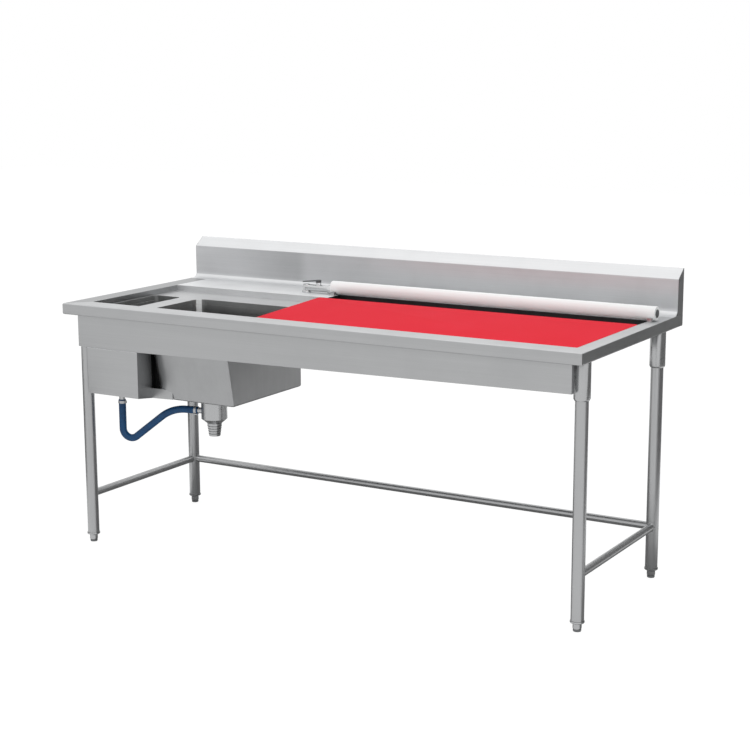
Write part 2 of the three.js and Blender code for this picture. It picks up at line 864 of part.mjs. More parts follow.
// The clean-out plug: a turned head and a screw that fills the hole in the pipe's end.
function pipePlug() {
  const head = plugHeadDiameter / 2;
  const screw = plugScrewDiameter / 2;
  return alongX(
    turned(
      [
        [0, -2 * pipeCap],
        [screw, -2 * pipeCap],
        [screw, seam],
        [head, seam],
        [head, plugHeadHeight / 2],
        [head - plugHeadHeight / 2, plugHeadHeight],
        [0, plugHeadHeight],
      ],
      24,
    ),
  );
}

// A saddle that holds the rinse pipe just clear of the worktop.
function pipeBracket() {
  const half = pipeDiameter / 2 + bracketWing;
  const block = box(-bracketWidth / 2, bracketWidth / 2, -half, half, seam, bracketHeight);
  const seat = alongX(rod(pipeDiameter / 2 + seam, -bracketWidth, bracketWidth));
  return cut(block, seat.translate([0, 0, pipeZ]));
}

// The valve's body: a flanged elbow on the deck, a drum with a bonnet, and a union nut with its nipple
// in the end of the rinse pipe. The waterway runs through all of it.
function valveBody() {
  const length = pipeLeft - seam - elbowX;
  const drum = alongX(rod(valveDiameter / 2, 0, length)).translate([elbowX, 0, valveZ]);
  const elbow = rod(elbowDiameter / 2, seam, valveZ + valveDiameter / 2).translate([elbowX, 0, 0]);
  const foot = rod(elbowFlangeDiameter / 2, seam, elbowFlangeHeight).translate([elbowX, 0, 0]);
  const nut = alongX(hexagon(unionAcross, -unionLength, 0).rotate([0, 0, 30]));
  const nipple = alongX(rod(nippleDiameter / 2, -overrun, nippleLength, 24));
  const bonnet = rod(bonnetDiameter / 2, valveZ, bonnetTop, 24).translate([bonnetX, 0, 0]);
  const end = [pipeLeft - seam, 0, valveZ];
  const socket = rod(supplyDiameter / 2 + seam, -overrun, elbowSocket, 24).translate([elbowX, 0, 0]);
  const rise = rod(valveBore / 2, 0, valveZ, 16).translate([elbowX, 0, 0]);
  const run = alongX(rod(valveBore / 2, 0, length + nippleLength + overrun, 16));
  const spindle = rod(spindleDiameter / 2 + seam, bonnetTop - spindleLength, bonnetTop + overrun, 16);
  return cut(
    joined(drum, elbow, foot, nut.translate(end), nipple.translate(end), bonnet),
    socket,
    rise,
    run.translate([elbowX, 0, valveZ]),
    spindle.translate([bonnetX, 0, 0]),
  );
}

// The lever: a hub over the bonnet with its spindle, and a flat arm that falls a little to its tip.
function valveLever() {
  const foot = leverClear;
  const hub = rod(leverHubDiameter / 2, foot, foot + leverHubHeight, 24);
  const spindle = rod(spindleDiameter / 2, seam - spindleLength, foot + overrun, 16);
  const root = foot + leverHubHeight;
  const arm = drawnAlongY(
    [
      [-leverReach, root - leverFall - leverThickness],
      [0, root - leverThickness],
      [0, root],
      [-leverReach, root - leverFall],
    ],
    -leverWidth / 2,
    leverWidth / 2,
  );
  return joined(hub, spindle, arm);
}

// The supply pipe up through the deck, and the nut that holds the valve down from below.
function supplyPipe() {
  return tube(supplyDiameter / 2, (supplyDiameter - supplyBore) / 2, -supplyLength, elbowSocket - seam, 24);
}

function locknut() {
  const head = -sheet - seam;
  const bore = rod(supplyDiameter / 2 + seam, head - locknutHeight - overrun, head + overrun, 24);
  return cut(hexagon(locknutAcross, head - locknutHeight, head), bore);
}

function rinseFittings() {
  place(top, "rinse_pipe", rinsePipe(), polished, pipeLeft, pipeY, pipeZ);
  place(top, "rinse_pipe_plug", pipePlug(), polished, pipeRight, pipeY, pipeZ);
  const inward = bracketInset + bracketWidth / 2;
  place(top, "pipe_bracket_left", pipeBracket(), brushed, pipeLeft + inward, pipeY);
  place(top, "pipe_bracket_right", pipeBracket(), brushed, pipeRight - inward, pipeY);
  place(top, "valve_body", valveBody(), polished, 0, pipeY);
  place(top, "valve_lever", valveLever(), polished, bonnetX, pipeY, bonnetTop);
  place(top, "supply_pipe", supplyPipe(), brushed, elbowX, pipeY);
  place(top, "supply_locknut", locknut(), brushed, elbowX, pipeY);
}

// The waste's flange on the bowl floor, with the seat for the strainer and the threaded neck below.
function wasteFlange() {
  const foot = bowlFloor + seam;
  const head = foot + wasteFlangeHeight;
  return turned(
    [
      [wasteNeckBore, foot - wasteNeckDrop],
      [wasteNeckRadius, foot - wasteNeckDrop],
      [wasteNeckRadius, foot],
      [wasteFlangeRadius, foot],
      [wasteFlangeRadius - wasteFlangeHeight, head],
      [wasteSeatRadius, head],
      [wasteSeatRadius, head - wasteSeatDepth],
      [wasteNeckBore, head - wasteSeatDepth],
    ],
    40,
  );
}

// The waste's body: a cup with a side inlet for the hose and a ribbed outlet below.
function wasteBody() {
  const floor = cupTop - cupDepth;
  const tip = floor - spigotLength;
  const ribs = Array.from({ length: spigotRibs }, (_, i) => {
    const share = (i + 1) / (spigotRibs + 1);
    const radius = spigotTop + (spigotTip - spigotTop) * share;
    const z = floor - share * spigotLength;
    return [
      [radius, z - spigotRib],
      [radius + spigotRib, z],
      [radius, z + spigotRib],
    ];
  });
  const cup = turned(
    [
      [spigotBore, tip],
      [spigotTip, tip],
      ...ribs.reverse().flat(),
      [spigotTop, floor],
      [cupRadius, floor + cupBevel],
      [cupRadius, cupTop],
      [cupRadius - cupWall, cupTop],
      [cupRadius - cupWall, floor + cupBevel + cupFloor],
      [spigotBore, floor + cupFloor],
    ],
    40,
  );
  const inlet = alongX(rod(stubRadius, -inletReach, cupWall / 2 - cupRadius, stubSides));
  const bore = alongX(rod(stubBore, -inletReach - overrun, 0, stubSides));
  const side = [0, 0, cupTop - inletDrop];
  return cut(joined(cup, inlet.translate(side)), bore.translate(side)).rotate([0, 0, inletTurn]);
}

// The strainer basket that lifts out of the waste, with a knob on a stem.
function strainer() {
  const seat = bowlFloor + seam + wasteFlangeHeight - wasteSeatDepth + seam;
  const floor = seat - basketDepth;
  const inner = basketRadius - basketWall;
  const top = seat + knobTop + knobHeight;
  const shell = turned(
    [
      [0, floor],
      [basketRadius, floor],
      [basketRadius, seat],
      [basketLip, seat],
      [basketLip, seat + basketWall],
      [inner, seat + basketWall],
      [inner, floor + basketWall],
      [knobStem, floor + basketWall],
      [knobStem, top - knobHeight],
      [knobRadius, top - knobHeight / 2],
      [knobRadius / 2, top],
      [0, top],
    ],
    40,
  );
  const hole = rod(basketHole, floor - overrun, floor + overrun, 8).translate([basketHoleCircle, 0, 0]);
  const holes = Array.from({ length: basketHoles }, (_, i) => hole.rotate([0, 0, (360 * i) / basketHoles]));
  return cut(shell, ...holes);
}

// The trough's drain: a stub with a flange on the trough's floor.
function troughStub() {
  const foot = troughFloor + seam;
  return turned(
    [
      [stubBore, foot - stubDrop],
      [stubRadius, foot - stubDrop],
      [stubRadius, foot],
      [stubFlangeRadius, foot],
      [stubFlangeRadius, foot + sheet],
      [stubBore, foot + sheet],
    ],
    stubSides,
  );
}

// The hose's line in the upright plane through both stubs, as points of distance from the trough's stub
// and height: straight down, round the bend, up at a slope, over an arch and level into the waste.
function hoseLine() {
  const rise = THREE.MathUtils.degToRad(hoseRise);
  const start = troughFloor + seam - stubDrop + hoseOverlap;
  const level = cupTop - inletDrop;
  const end = Math.hypot(wasteX - stubX, wasteY - stubY) - inletReach + hoseOverlap;
  const crest = end - hoseLead;
  const archFoot = crest - hoseArch * Math.sin(rise);
  const archFootZ = level - hoseArch * (1 - Math.cos(rise));
  const bendEnd = hoseBend * (1 + Math.sin(rise));
  const bendZ = archFootZ - Math.tan(rise) * (archFoot - bendEnd) + hoseBend * Math.cos(rise);
  const between = (from, to, count) =>
    Array.from({ length: count + 1 }, (_, i) => from + ((to - from) * i) / count);
  const down = between(start, bendZ, 4).map((z) => [0, z]);
  const bend = between(0, Math.PI / 2 + rise, 7).map((angle) => [
    hoseBend - hoseBend * Math.cos(angle),
    bendZ - hoseBend * Math.sin(angle),
  ]);
  const slope = between(0, 1, 4).map((share) => [
    bendEnd + share * (archFoot - bendEnd),
    archFootZ + (share - 1) * Math.tan(rise) * (archFoot - bendEnd),
  ]);
  const arch = between(rise, 0, 4).map((angle) => [
    crest - hoseArch * Math.sin(angle),
    level - hoseArch * (1 - Math.cos(angle)),
  ]);
  const run = between(crest, end, 3).map((distance) => [distance, level]);
  return [...down, ...bend.slice(1), ...slope.slice(1), ...arch.slice(1), ...run.slice(1)];
}

// The hose's line in space.
function hoseRoute() {
  const turn = THREE.MathUtils.degToRad(inletTurn);
  return hoseLine().map(
    ([distance, z]) =>
      new THREE.Vector3(stubX + distance * Math.cos(turn), stubY + distance * Math.sin(turn), z),
  );
}

// The hose: a hollow round section drawn along its route.
function drainHose(route) {
  const ring = (radius) =>
    Array.from({ length: hoseSides }, (_, i) => {
      const angle = (2 * Math.PI * i) / hoseSides;
      return new THREE.Vector2(radius * Math.cos(angle), radius * Math.sin(angle));
    });
  const section = new THREE.Shape(ring(hoseDiameter / 2));
  section.holes.push(new THREE.Path(ring(hoseBore / 2).reverse()));
  const extrudePath = new THREE.CatmullRomCurve3(route);
  return solid(new THREE.ExtrudeGeometry(section, { steps: hoseSteps, extrudePath }));
}

// A worm clip round one end of the hose, as a band on the Z axis with its screw housing.
function hoseClip() {
  const inner = hoseDiameter / 2 + rest;
  const outer = inner + clampWall;
  const half = clampWidth / 2;
  const band = rod(outer, 0, clampWidth, 24);
  const housing = box(outer - clampWall / 2, outer + 2 * clampWall, -half, half, 0, clampWidth);
  return cut(joined(band, housing), rod(inner, -overrun, clampWidth + overrun, 24));
}

function drains() {
  place(top, "waste_flange", wasteFlange(), polished, wasteX, wasteY);
  place(top, "waste_body", wasteBody(), brushed, wasteX, wasteY);
  place(top, "strainer_basket", strainer(), polished, wasteX, wasteY);
  place(top, "trough_stub", troughStub(), brushed, stubX, stubY);
  const route = hoseRoute();
  place(top, "drain_hose", drainHose(route), hoseBlue);
  const back = clampInset + clampWidth;
  const first = route[0];
  place(top, "hose_clip_trough", hoseClip(), polished, first.x, first.y, first.z - back);
  const last = route[route.length - 1];
  const lead = last.clone().sub(route[route.length - 2]).setLength(back);
  const lower = alongX(hoseClip()).rotate([0, 0, inletTurn]);
  place(top, "hose_clip_waste", lower, polished, ...last.sub(lead).toArray());
}

function worktop() {
  place(top, "front_rim", frontRim(), brushed);
  place(top, "left_rim", sideRim(leftEdge, fieldLeft), brushed);
  place(top, "right_rim", sideRim(rightEdge, fieldRight), brushed);
  place(top, "rear_deck", rearDeck(), brushed);
  place(top, "splash_back", splashBack(), brushed);
  place(top, "splash_end_left", splashEnd(), brushed, leftEdge);
  place(top, "splash_end_right", splashEnd(), brushed, rightEdge - splashEndSheet);
  place(top, "board_pan", boardPan(), brushed);
  place(top, "sink_ledge", sinkLedge(), brushed);
  place(top, "main_bowl", mainBowl(), brushed);
  place(top, "trough_bowl", troughBowl(), brushed);
  place(top, "front_apron", frontApron(), brushed);
  place(top, "cover_panel", coverPanel(), brushed);
}

worktop();
frame();
legs();
boardAndBearers();
rinseFittings();
drains();

export default table;
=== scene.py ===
import math

import bmesh
import bpy
from mathutils import Matrix, Vector


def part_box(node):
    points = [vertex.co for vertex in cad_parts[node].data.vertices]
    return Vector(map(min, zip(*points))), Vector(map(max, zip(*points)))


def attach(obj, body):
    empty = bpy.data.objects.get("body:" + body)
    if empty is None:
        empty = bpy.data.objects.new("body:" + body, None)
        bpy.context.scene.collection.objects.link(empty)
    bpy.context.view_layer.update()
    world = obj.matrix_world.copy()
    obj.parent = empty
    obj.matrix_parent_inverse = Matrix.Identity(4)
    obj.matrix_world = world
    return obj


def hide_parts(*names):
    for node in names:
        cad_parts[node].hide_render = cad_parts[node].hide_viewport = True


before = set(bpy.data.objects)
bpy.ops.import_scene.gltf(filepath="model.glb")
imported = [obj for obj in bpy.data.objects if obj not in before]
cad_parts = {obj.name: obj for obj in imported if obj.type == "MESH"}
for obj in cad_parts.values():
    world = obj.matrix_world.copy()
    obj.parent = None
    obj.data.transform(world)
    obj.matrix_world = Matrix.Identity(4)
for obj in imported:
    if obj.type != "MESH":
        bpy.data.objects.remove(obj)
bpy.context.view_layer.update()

# Camera
# Stands in front of the table and to its right, a little above the worktop, as the photographer did.
# Its place, turn and lens were solved from the table's straight edges.
camera_place = (2.7851, -4.6381, 1.6897)
yaw = math.radians(-30.636)
pitch = math.radians(11.118)
roll = math.radians(-0.176)
camera_data = bpy.data.cameras.new("photo_camera")
camera_data.sensor_width = 36.0
camera_data.lens = 79.77
camera_data.clip_end = 60.0
camera = bpy.data.objects.new("photo_camera", camera_data)
bpy.context.scene.collection.objects.link(camera)
bpy.context.scene.camera = camera
forward = Vector((math.sin(yaw) * math.cos(pitch), math.cos(yaw) * math.cos(pitch), -math.sin(pitch)))
level = Vector((math.cos(yaw), -math.sin(yaw), 0.0))
upward = level.cross(forward)
right = math.cos(roll) * level + math.sin(roll) * upward
above = -math.sin(roll) * level + math.cos(roll) * upward
turn = Matrix((right, above, -forward)).transposed().to_4x4()
camera.matrix_world = Matrix.Translation(camera_place) @ turn

# Worktop edge
# The rims round the worktop: one 1.5 mm stainless steel sheet, folded down 38 mm and under 15 mm along
# the front and both ends, mitred and welded at the front corners. Its bend catches the light.
(left_end, front_end, under_z), (right_end, field_front, top_z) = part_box("front_rim")
field_left, wall_end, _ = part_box("left_rim")[1]
field_right, _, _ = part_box("right_rim")[0]
_, deck_back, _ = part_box("rear_deck")[1]
gauge = 0.0015
hem = 0.015
edge_bend = 0.005


def tone(code):
    """An sRGB hex colour as linear RGBA."""
    channels = [int(code[i : i + 2], 16) / 255 for i in (1, 3, 5)]
    linear = [c / 12.92 if c <= 0.04045 else ((c + 0.055) / 1.055) ** 2.4 for c in channels]
    return (*linear, 1.0)


def grey(value):
    """A neutral linear colour."""
    return (value, value, value, 1.0)


def scaled(colour, factor):
    """A colour made darker or brighter by a factor, up to full white."""
    return (*[min(1.0, c * factor) for c in colour[:3]], 1.0)


def new_material(name):
    """An empty material and its node tree."""
    made = bpy.data.materials.new(name)
    made.use_nodes = True
    made.node_tree.nodes.clear()
    return made, made.node_tree


def node(tree, kind, links=None, stops=(), **settings):
    """Adds a shader node: its settings, its inputs (in_...), a colour ramp's stops and its links."""
    made = tree.nodes.new(kind)
    for key, value in settings.items():
        if key.startswith("in_"):
            made.inputs[key[3:].replace("_", " ")].default_value = value
        else:
            setattr(made, key, value)
    if stops:
        # A new ramp has two stops. The others are added anywhere and all of them are placed here.
        elements = made.color_ramp.elements
        while len(elements) < len(stops):
            elements.new(0.5)
        for element, (place, colour) in zip(elements, stops):
            element.position = place
            element.color = colour
    for socket, source in (links or {}).items():
        tree.links.new(source, made.inputs[socket])
    return made


def surface(tree, colour, gloss, relief, **settings):
    """Ends a material with its shader, from a colour and from the nodes for its gloss and relief."""
    links = {"Base Color": colour, "Roughness": gloss.outputs["Result"], "Normal": relief.outputs["Normal"]}
    shader = node(tree, "ShaderNodeBsdfPrincipled", links, **settings)
    node(tree, "ShaderNodeOutputMaterial", {"Surface": shader.outputs["BSDF"]})


def per_metre(width):
    """The scale of a noise whose marks are this many millimetres wide."""
    return 1000.0 / width


def along_grain(grain, width, length):
    """Noise scales for marks of this width and length in millimetres that run along one axis."""
    return [per_metre(length if axis == grain else width) for axis in "XYZ"]


# Millimetres. A fine belt leaves scratches about 0.1 mm wide, which are drawn 1.1 mm wide so that they
# show. Its passes leave broader bands, and hands and cloths leave patches as large as a hand.
scratch_width, scratch_length = 1.11, 333
band_width, band_length = 16.7, 1250
patch_width = 143
scratch_height = 0.00012

# A Mix node names its sockets alike for every kind of value, so those for colour go by number.
mix_a, mix_b, mix_out = 6, 7, 2


def brushed_steel(name, colour, grain, roughness=0.34, clouds=0.10, fine=0.7, fade=None):
    """Stainless steel ground with a belt along the axis `grain`: long scratches and a wide soft gloss.
    `clouds` and `fine` say how strong patches and scratches are, `fade` paints shade along the table."""
    made, tree = new_material(name)
    place = node(tree, "ShaderNodeTexCoord").outputs["Object"]
    scratch_scale = along_grain(grain, scratch_width, scratch_length)
    scratch_place = node(tree, "ShaderNodeMapping", {"Vector": place}, in_Scale=scratch_scale)
    scratch = node(
        tree,
        "ShaderNodeTexNoise",
        {"Vector": scratch_place.outputs["Vector"]},
        in_Scale=1.0,
        in_Detail=3.0,
        in_Roughness=0.6,
    )
    band_scale = along_grain(grain, band_width, band_length)
    band_place = node(tree, "ShaderNodeMapping", {"Vector": place}, in_Scale=band_scale)
    band = node(
        tree,
        "ShaderNodeTexNoise",
        {"Vector": band_place.outputs["Vector"]},
        in_Scale=1.0,
        in_Detail=2.0,
    )
    patch = node(
        tree,
        "ShaderNodeTexNoise",
        {"Vector": place},
        in_Scale=per_metre(patch_width),
        in_Detail=4.0,
        in_Roughness=0.55,
    )
    light = tone(colour)
    patch_stops = [(0.25, scaled(light, 1 - clouds)), (0.55, light), (0.85, scaled(light, 1 + clouds / 2))]
    scratch_stops = [(0.3, grey(1 - fine / 10)), (0.7, grey(1.0))]
    band_stops = [(0.3, grey(0.97)), (0.7, grey(1.0))]
    shades = [
        node(tree, "ShaderNodeValToRGB", {"Fac": patch.outputs["Fac"]}, patch_stops),
        node(tree, "ShaderNodeValToRGB", {"Fac": scratch.outputs["Fac"]}, scratch_stops),
        node(tree, "ShaderNodeValToRGB", {"Fac": band.outputs["Fac"]}, band_stops),
    ]
    if fade:
        axes = node(tree, "ShaderNodeSeparateXYZ", {"Vector": place})
        along = node(
            tree,
            "ShaderNodeMapRange",
            {"Value": axes.outputs["X"]},
            in_From_Min=left_end,
            in_From_Max=right_end,
        )
        shades.append(node(tree, "ShaderNodeValToRGB", {"Fac": along.outputs["Result"]}, fade))
    shaded = shades[0].outputs["Color"]
    for shade in shades[1:]:
        mixed = node(
            tree,
            "ShaderNodeMix",
            {mix_a: shaded, mix_b: shade.outputs["Color"]},
            data_type="RGBA",
            blend_type="MULTIPLY",
            in_Factor=1.0,
        )
        shaded = mixed.outputs[mix_out]
    gloss = node(
        tree,
        "ShaderNodeMapRange",
        {"Value": patch.outputs["Fac"]},
        in_To_Min=roughness - 0.05,
        in_To_Max=roughness + 0.07,
    )
    relief = node(
        tree,
        "ShaderNodeBump",
        {"Height": scratch.outputs["Fac"]},
        in_Strength=0.12 * fine,
        in_Distance=scratch_height,
    )
    surface(tree, shaded, gloss, relief, in_Metallic=1.0)
    return made


# Front and back faces keep the sheet's soft grey gloss, and end faces take a painted shade, a darker copy of
# it.
# The rims' tops are painted lighter, as if lit from above, and are duller; the left one, ground across, is a
# shade darker than the others.
steel_long = brushed_steel("steel_belt_ground_along_x", "#B0B1B2", "X", clouds=0.05)
steel_deep = brushed_steel("steel_along_y_painted_shade", "#A4A5A6", "Y", clouds=0.14)
steel_rim = brushed_steel("steel_rim_painted_light", "#CBCCCD", "X", roughness=0.45, clouds=0.08)
steel_left = brushed_steel("steel_belt_ground_left_rim", "#AFB0B1", "Y", roughness=0.45, clouds=0.08)


def smooth(obj, angle=34.0):
    """Smooth shading, with edges sharper than `angle` degrees kept crisp."""
    mesh = obj.data
    mesh.polygons.foreach_set("use_smooth", [True] * len(mesh.polygons))
    mesh.set_sharp_from_angle(angle=math.radians(angle))
    mesh.update()


def paint(obj, *materials):
    """Gives a piece these materials and no others."""
    obj.data.materials.clear()
    for material in materials:
        obj.data.materials.append(material)


def looks_up(face):
    """Whether a face is level or nearly so, with its outside on top."""
    return face.normal.z > 0.5


def paint_by_facing(obj, along, side, top):
    """Paints light and shade by facing, with lit and shaded copies of one steel: front and back faces take
    `along`, end faces take `side`, faces that look up take `top`.
    """
    paint(obj, along, side, top)
    for face in obj.data.polygons:
        looks_endwise = abs(face.normal.x) > 0.7
        face.material_index = 2 if looks_up(face) else int(looks_endwise)


def repaint(obj, material, chosen):
    """Adds a material for the faces that `chosen` picks."""
    obj.data.materials.append(material)
    for face in obj.data.polygons:
        if chosen(face):
            face.material_index = len(obj.data.materials) - 1


def finished(bm, name):
    """The mesh that a bmesh was building."""
    mesh = bpy.data.meshes.new(name)
    bm.to_mesh(mesh)
    bm.free()
    return mesh


def new_piece(name, mesh, body, slot, *replaced):
    """A mesh in the table's frame that rides on a body and stands for CAD nodes."""
    obj = bpy.data.objects.new(name, mesh)
    bpy.context.scene.collection.objects.link(obj)
    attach(obj, body)
    if replaced:
        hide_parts(*replaced)
    return obj


def keep_edges(obj, angle=34.0):
    """Keeps the edges crisp that a piece gets from its modifiers, such as a sheet's cut edge."""
    split = obj.modifiers.new("cut_edges", "EDGE_SPLIT")
    split.split_angle = math.radians(angle)
    split.use_edge_sharp = True


def sheet_metal(name, points, faces, bends, radius, *replaced):
    """Folded sheet from its outer faces: the listed bends are rounded, then it gets its thickness."""
    bm = bmesh.new()
    verts = [bm.verts.new(point) for point in points]
    for face in faces:
        bm.faces.new([verts[i] for i in face])
    bmesh.ops.bevel(
        bm,
        geom=[bm.edges.get((verts[a], verts[b])) for a, b in bends],
        offset=radius,
        offset_type="OFFSET",
        segments=4,
        profile=0.5,
        affect="EDGES",
        clamp_overlap=False,
    )
    obj = new_piece(name, finished(bm, name), "table", "sheet_steel", *replaced)
    shell = obj.modifiers.new("gauge", "SOLIDIFY")
    shell.thickness = gauge
    shell.offset = -1.0
    shell.use_even_offset = True
    keep_edges(obj)
    return obj


# The rims' tops are points 0 to 9, the foot of the folded faces 10 to 13, and the hem's edge 14 to 17.
edge_points = [
    (left_end, deck_back, top_z),
    (field_left, deck_back, top_z),
    (field_left, field_front, top_z),
    (left_end, front_end, top_z),
    (field_right, field_front, top_z),
    (right_end, front_end, top_z),
    (field_right, deck_back, top_z),
    (right_end, deck_back, top_z),
    (left_end, wall_end, top_z),
    (right_end, wall_end, top_z),
    (left_end, front_end, under_z),
    (right_end, front_end, under_z),
    (left_end, wall_end, under_z),
    (right_end, wall_end, under_z),
    (left_end + hem, front_end + hem, under_z),
    (right_end - hem, front_end + hem, under_z),
    (left_end + hem, wall_end, under_z),
    (right_end - hem, wall_end, under_z),
]
rim_tops = [(3, 2, 1, 0), (3, 5, 4, 2), (5, 7, 6, 4)]
rim_faces = [(3, 0, 8, 12, 10), (5, 3, 10, 11), (7, 5, 11, 13, 9)]
rim_hems = [(10, 12, 16, 14), (11, 10, 14, 15), (13, 11, 15, 17)]
worktop_edge = sheet_metal(
    "worktop_edge",
    edge_points,
    rim_tops + rim_faces + rim_hems,
    [(3, 5), (0, 3), (5, 7), (10, 11), (10, 12), (11, 13)],
    edge_bend,
    "front_rim",
    "left_rim",
    "right_rim",
)
paint_by_facing(worktop_edge, steel_long, steel_deep, steel_rim)
repaint(worktop_edge, steel_left, lambda face: looks_up(face) and face.center.x < field_left)
smooth(worktop_edge)

# Rear deck and splash-back
# The flat behind the sinks and the board is welded to the splash-back, one folded sheet that rises
# through a cove to an upright face and slopes back to the wall.

# The flat is painted the palest of all the faces, as if lit from above, and is the dullest of them.
steel_top = brushed_steel("steel_top_painted_light", "#E8E9EA", "X", roughness=0.6, clouds=0.06)
_, deck_front_left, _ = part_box("rear_deck")[0]
deck_front_right = 0.223
deck_step = -0.235
deck = sheet_metal(
    "rear_deck_sheet",
    [
        (field_left, deck_front_left, top_z),
        (deck_step, deck_front_left, top_z),
        (deck_step, deck_front_right, top_z),
        (field_right, deck_front_right, top_z),
        (field_right, deck_back, top_z),
        (field_left, deck_back, top_z),
    ],
    [(0, 1, 2, 3, 4, 5)],
    [],
    0.0,
    "rear_deck",
)
paint(deck, steel_top)

# The upright face has a painted reflection along the table, darker towards the end of its left quarter
# and lighter past it. The slope is painted paler, as lit, because it faces the light.
wall_painted_reflection = [(0.0, grey(1.0)), (0.1, grey(0.95)), (0.24, grey(0.8)), (0.26, grey(0.95)), (0.5, grey(1.0))]
steel_wall = brushed_steel(
    "steel_wall_painted_reflection", "#C8C9CB", "X", roughness=0.56, clouds=0.08, fade=wall_painted_reflection
)
steel_slope = brushed_steel("steel_slope_painted_light", "#E5E6E7", "X", roughness=0.6, clouds=0.04)
cove_y = 0.331
cove_radius = 0.025
cove_steps = 10
splash_face = cove_y + cove_radius
slope_foot, slope_head = 0.968, 1.000
splash_bend = 0.0025
splash_end = right_end - gauge + 0.0001
profile = [(deck_back, top_z), (cove_y, top_z)]
for step in range(1, cove_steps + 1):
    angle = step / cove_steps * math.pi / 2
    profile.append((cove_y + cove_radius * math.sin(angle), top_z + cove_radius * (1 - math.cos(angle))))
profile += [(splash_face, slope_foot), (wall_end, slope_head), (wall_end, under_z)]
slope_rows = (len(profile) - 3, len(profile) - 2)
splash = sheet_metal(
    "splash_back_sheet",
    [(x, y, z) for y, z in profile for x in (-splash_end, splash_end)],
    [(2 * row, 2 * row + 1, 2 * row + 3, 2 * row + 2) for row in range(len(profile) - 1)],
    [(2 * row, 2 * row + 1) for row in slope_rows],
    splash_bend,
    "splash_back",
)
paint_by_facing(splash, steel_wall, steel_deep, steel_slope)
smooth(splash)

# Sink bowls
# Two stainless steel bowls, deep-drawn and welded under the ledge. The large one leans in at its front,
# and the narrow trough beside it has a drain of its own. A painted highlight shows as a light upright strip
# in the large one's rear left corner.

# Deep drawing leaves the skin dull and satin. The outside of the right wall is painted lighter, as lit,
# and a pale strip in the rear left corner is a painted highlight.
steel_inside = brushed_steel("steel_drawn_bowl_inside", "#A6A7A7", "Z", roughness=0.42, fine=0.5)
steel_bowl = brushed_steel("steel_drawn_bowl_satin", "#A8A9AA", "Z", roughness=0.38, fine=0.5)
steel_bowl_lit_wall = brushed_steel("steel_drawn_bowl_painted_lit_side", "#C4C5C6", "Z", roughness=0.38, fine=0.5)
steel_corner_highlight = brushed_steel("steel_painted_corner_highlight", "#F4F5F5", "Z", roughness=0.85, clouds=0.03, fine=0.5)


def middle(name):
    """The centre of a CAD node's box, rounded to a hundredth of a millimetre."""
    low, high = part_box(name)
    return [round((a + b) / 2, 5) for a, b in zip(low, high)]


def ring(left, right, front, back, z, left_radius, right_radius):
    """A level loop round a bowl, with one corner radius at its left and another at its right."""
    steps = 9
    corners = [
        (right - right_radius, back - right_radius, right_radius),
        (left + left_radius, back - left_radius, left_radius),
        (left + left_radius, front + left_radius, left_radius),
        (right - right_radius, front + right_radius, right_radius),
    ]
    points = []
    for quarter, (x, y, radius) in enumerate(corners):
        for step in range(steps + 1):
            angle = (quarter + step / steps) * math.pi / 2
            points.append(Vector((x + radius * math.cos(angle), y + radius * math.sin(angle), z)))
    return points


def foot_round(radius, floor_z, steps):
    """How far in and how high each ring round a bowl's rounded foot lies, from the floor up."""
    angles = [step / steps * math.pi / 2 for step in range(steps + 1)]
    return [(radius * (1 - math.sin(a)), floor_z + radius * (1 - math.cos(a))) for a in angles]


def join_rings(bm, lower, upper):
    """Faces between two closed loops of vertices."""
    for k in range(len(lower)):
        after = (k + 1) % len(lower)
        bm.faces.new((lower[k], lower[after], upper[after], upper[k]))


def drawn_bowl(name, rings, flange, drain_x, drain_y, drain_radius, replaced):
    """A bowl's skin from its rings, listed floor first, with a drain hole and a flange at the mouth."""
    centre = Vector((drain_x, drain_y, rings[0][0].z))
    drain = [centre + (point - centre).normalized() * drain_radius for point in rings[0]]
    mouth_centre = sum(rings[-1], Vector()) / len(rings[-1])
    brim = [point + (point - mouth_centre).normalized() * flange for point in rings[-1]]
    bm = bmesh.new()
    loops = [[bm.verts.new(point) for point in loop] for loop in (drain, *rings, brim)]
    for lower, upper in zip(loops, loops[1:]):
        join_rings(bm, lower, upper)
    bmesh.ops.recalc_face_normals(bm, faces=bm.faces)
    floor_face = min(bm.faces, key=lambda face: face.calc_center_median().z)
    if floor_face.normal.z < 0:
        bmesh.ops.reverse_faces(bm, faces=bm.faces)
    obj = new_piece(name, finished(bm, name), "table", "sheet_steel", replaced)
    shell = obj.modifiers.new("gauge", "SOLIDIFY")
    shell.thickness = gauge
    shell.offset = -1.0
    shell.material_offset = 1
    keep_edges(obj, angle=50.0)
    smooth(obj, angle=50.0)
    return obj


# The mouth under the ledge narrows to a neck, and the body below its shoulder reaches further back.
bowl_flange = 0.012
(flange_left, flange_front, _), (flange_right, bowl_back, mouth_z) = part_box("main_bowl")
mouth_left, mouth_right = flange_left + bowl_flange, flange_right - bowl_flange
mouth_front, mouth_back = flange_front + bowl_flange, 0.012
mouth_corner = 0.038
neck_right = -0.3037
neck_front, neck_back = -0.3222, 0.030
neck_foot, neck_head = 0.748, 0.780
body_left, body_right = -0.672, -0.3365
body_front, body_back = -0.313, bowl_back - gauge
body_corner = 0.075
right_corner = 0.006
shoulder_z = 0.700
front_lean = 0.033 / 0.168
bowl_floor = 0.5335
bowl_round = 0.006
waste_x, waste_y, _ = middle("waste_flange")
waste_hole = 0.041
rings = []
for inset, z in foot_round(bowl_round, bowl_floor, 5):
    front = body_front + (shoulder_z - z) * front_lean
    sides = (body_left + inset, body_right - inset, front + inset, body_back - inset)
    rings.append(ring(*sides, z, body_corner, right_corner))
rings += [
    ring(body_left, body_right, body_front, body_back, shoulder_z, body_corner, right_corner),
    ring(mouth_left, neck_right, neck_front, neck_back, neck_foot, mouth_corner, right_corner),
    ring(mouth_left, neck_right, neck_front, mouth_back, neck_head, mouth_corner, right_corner),
    ring(mouth_left, mouth_right, mouth_front, mouth_back, mouth_z, mouth_corner, right_corner),
]
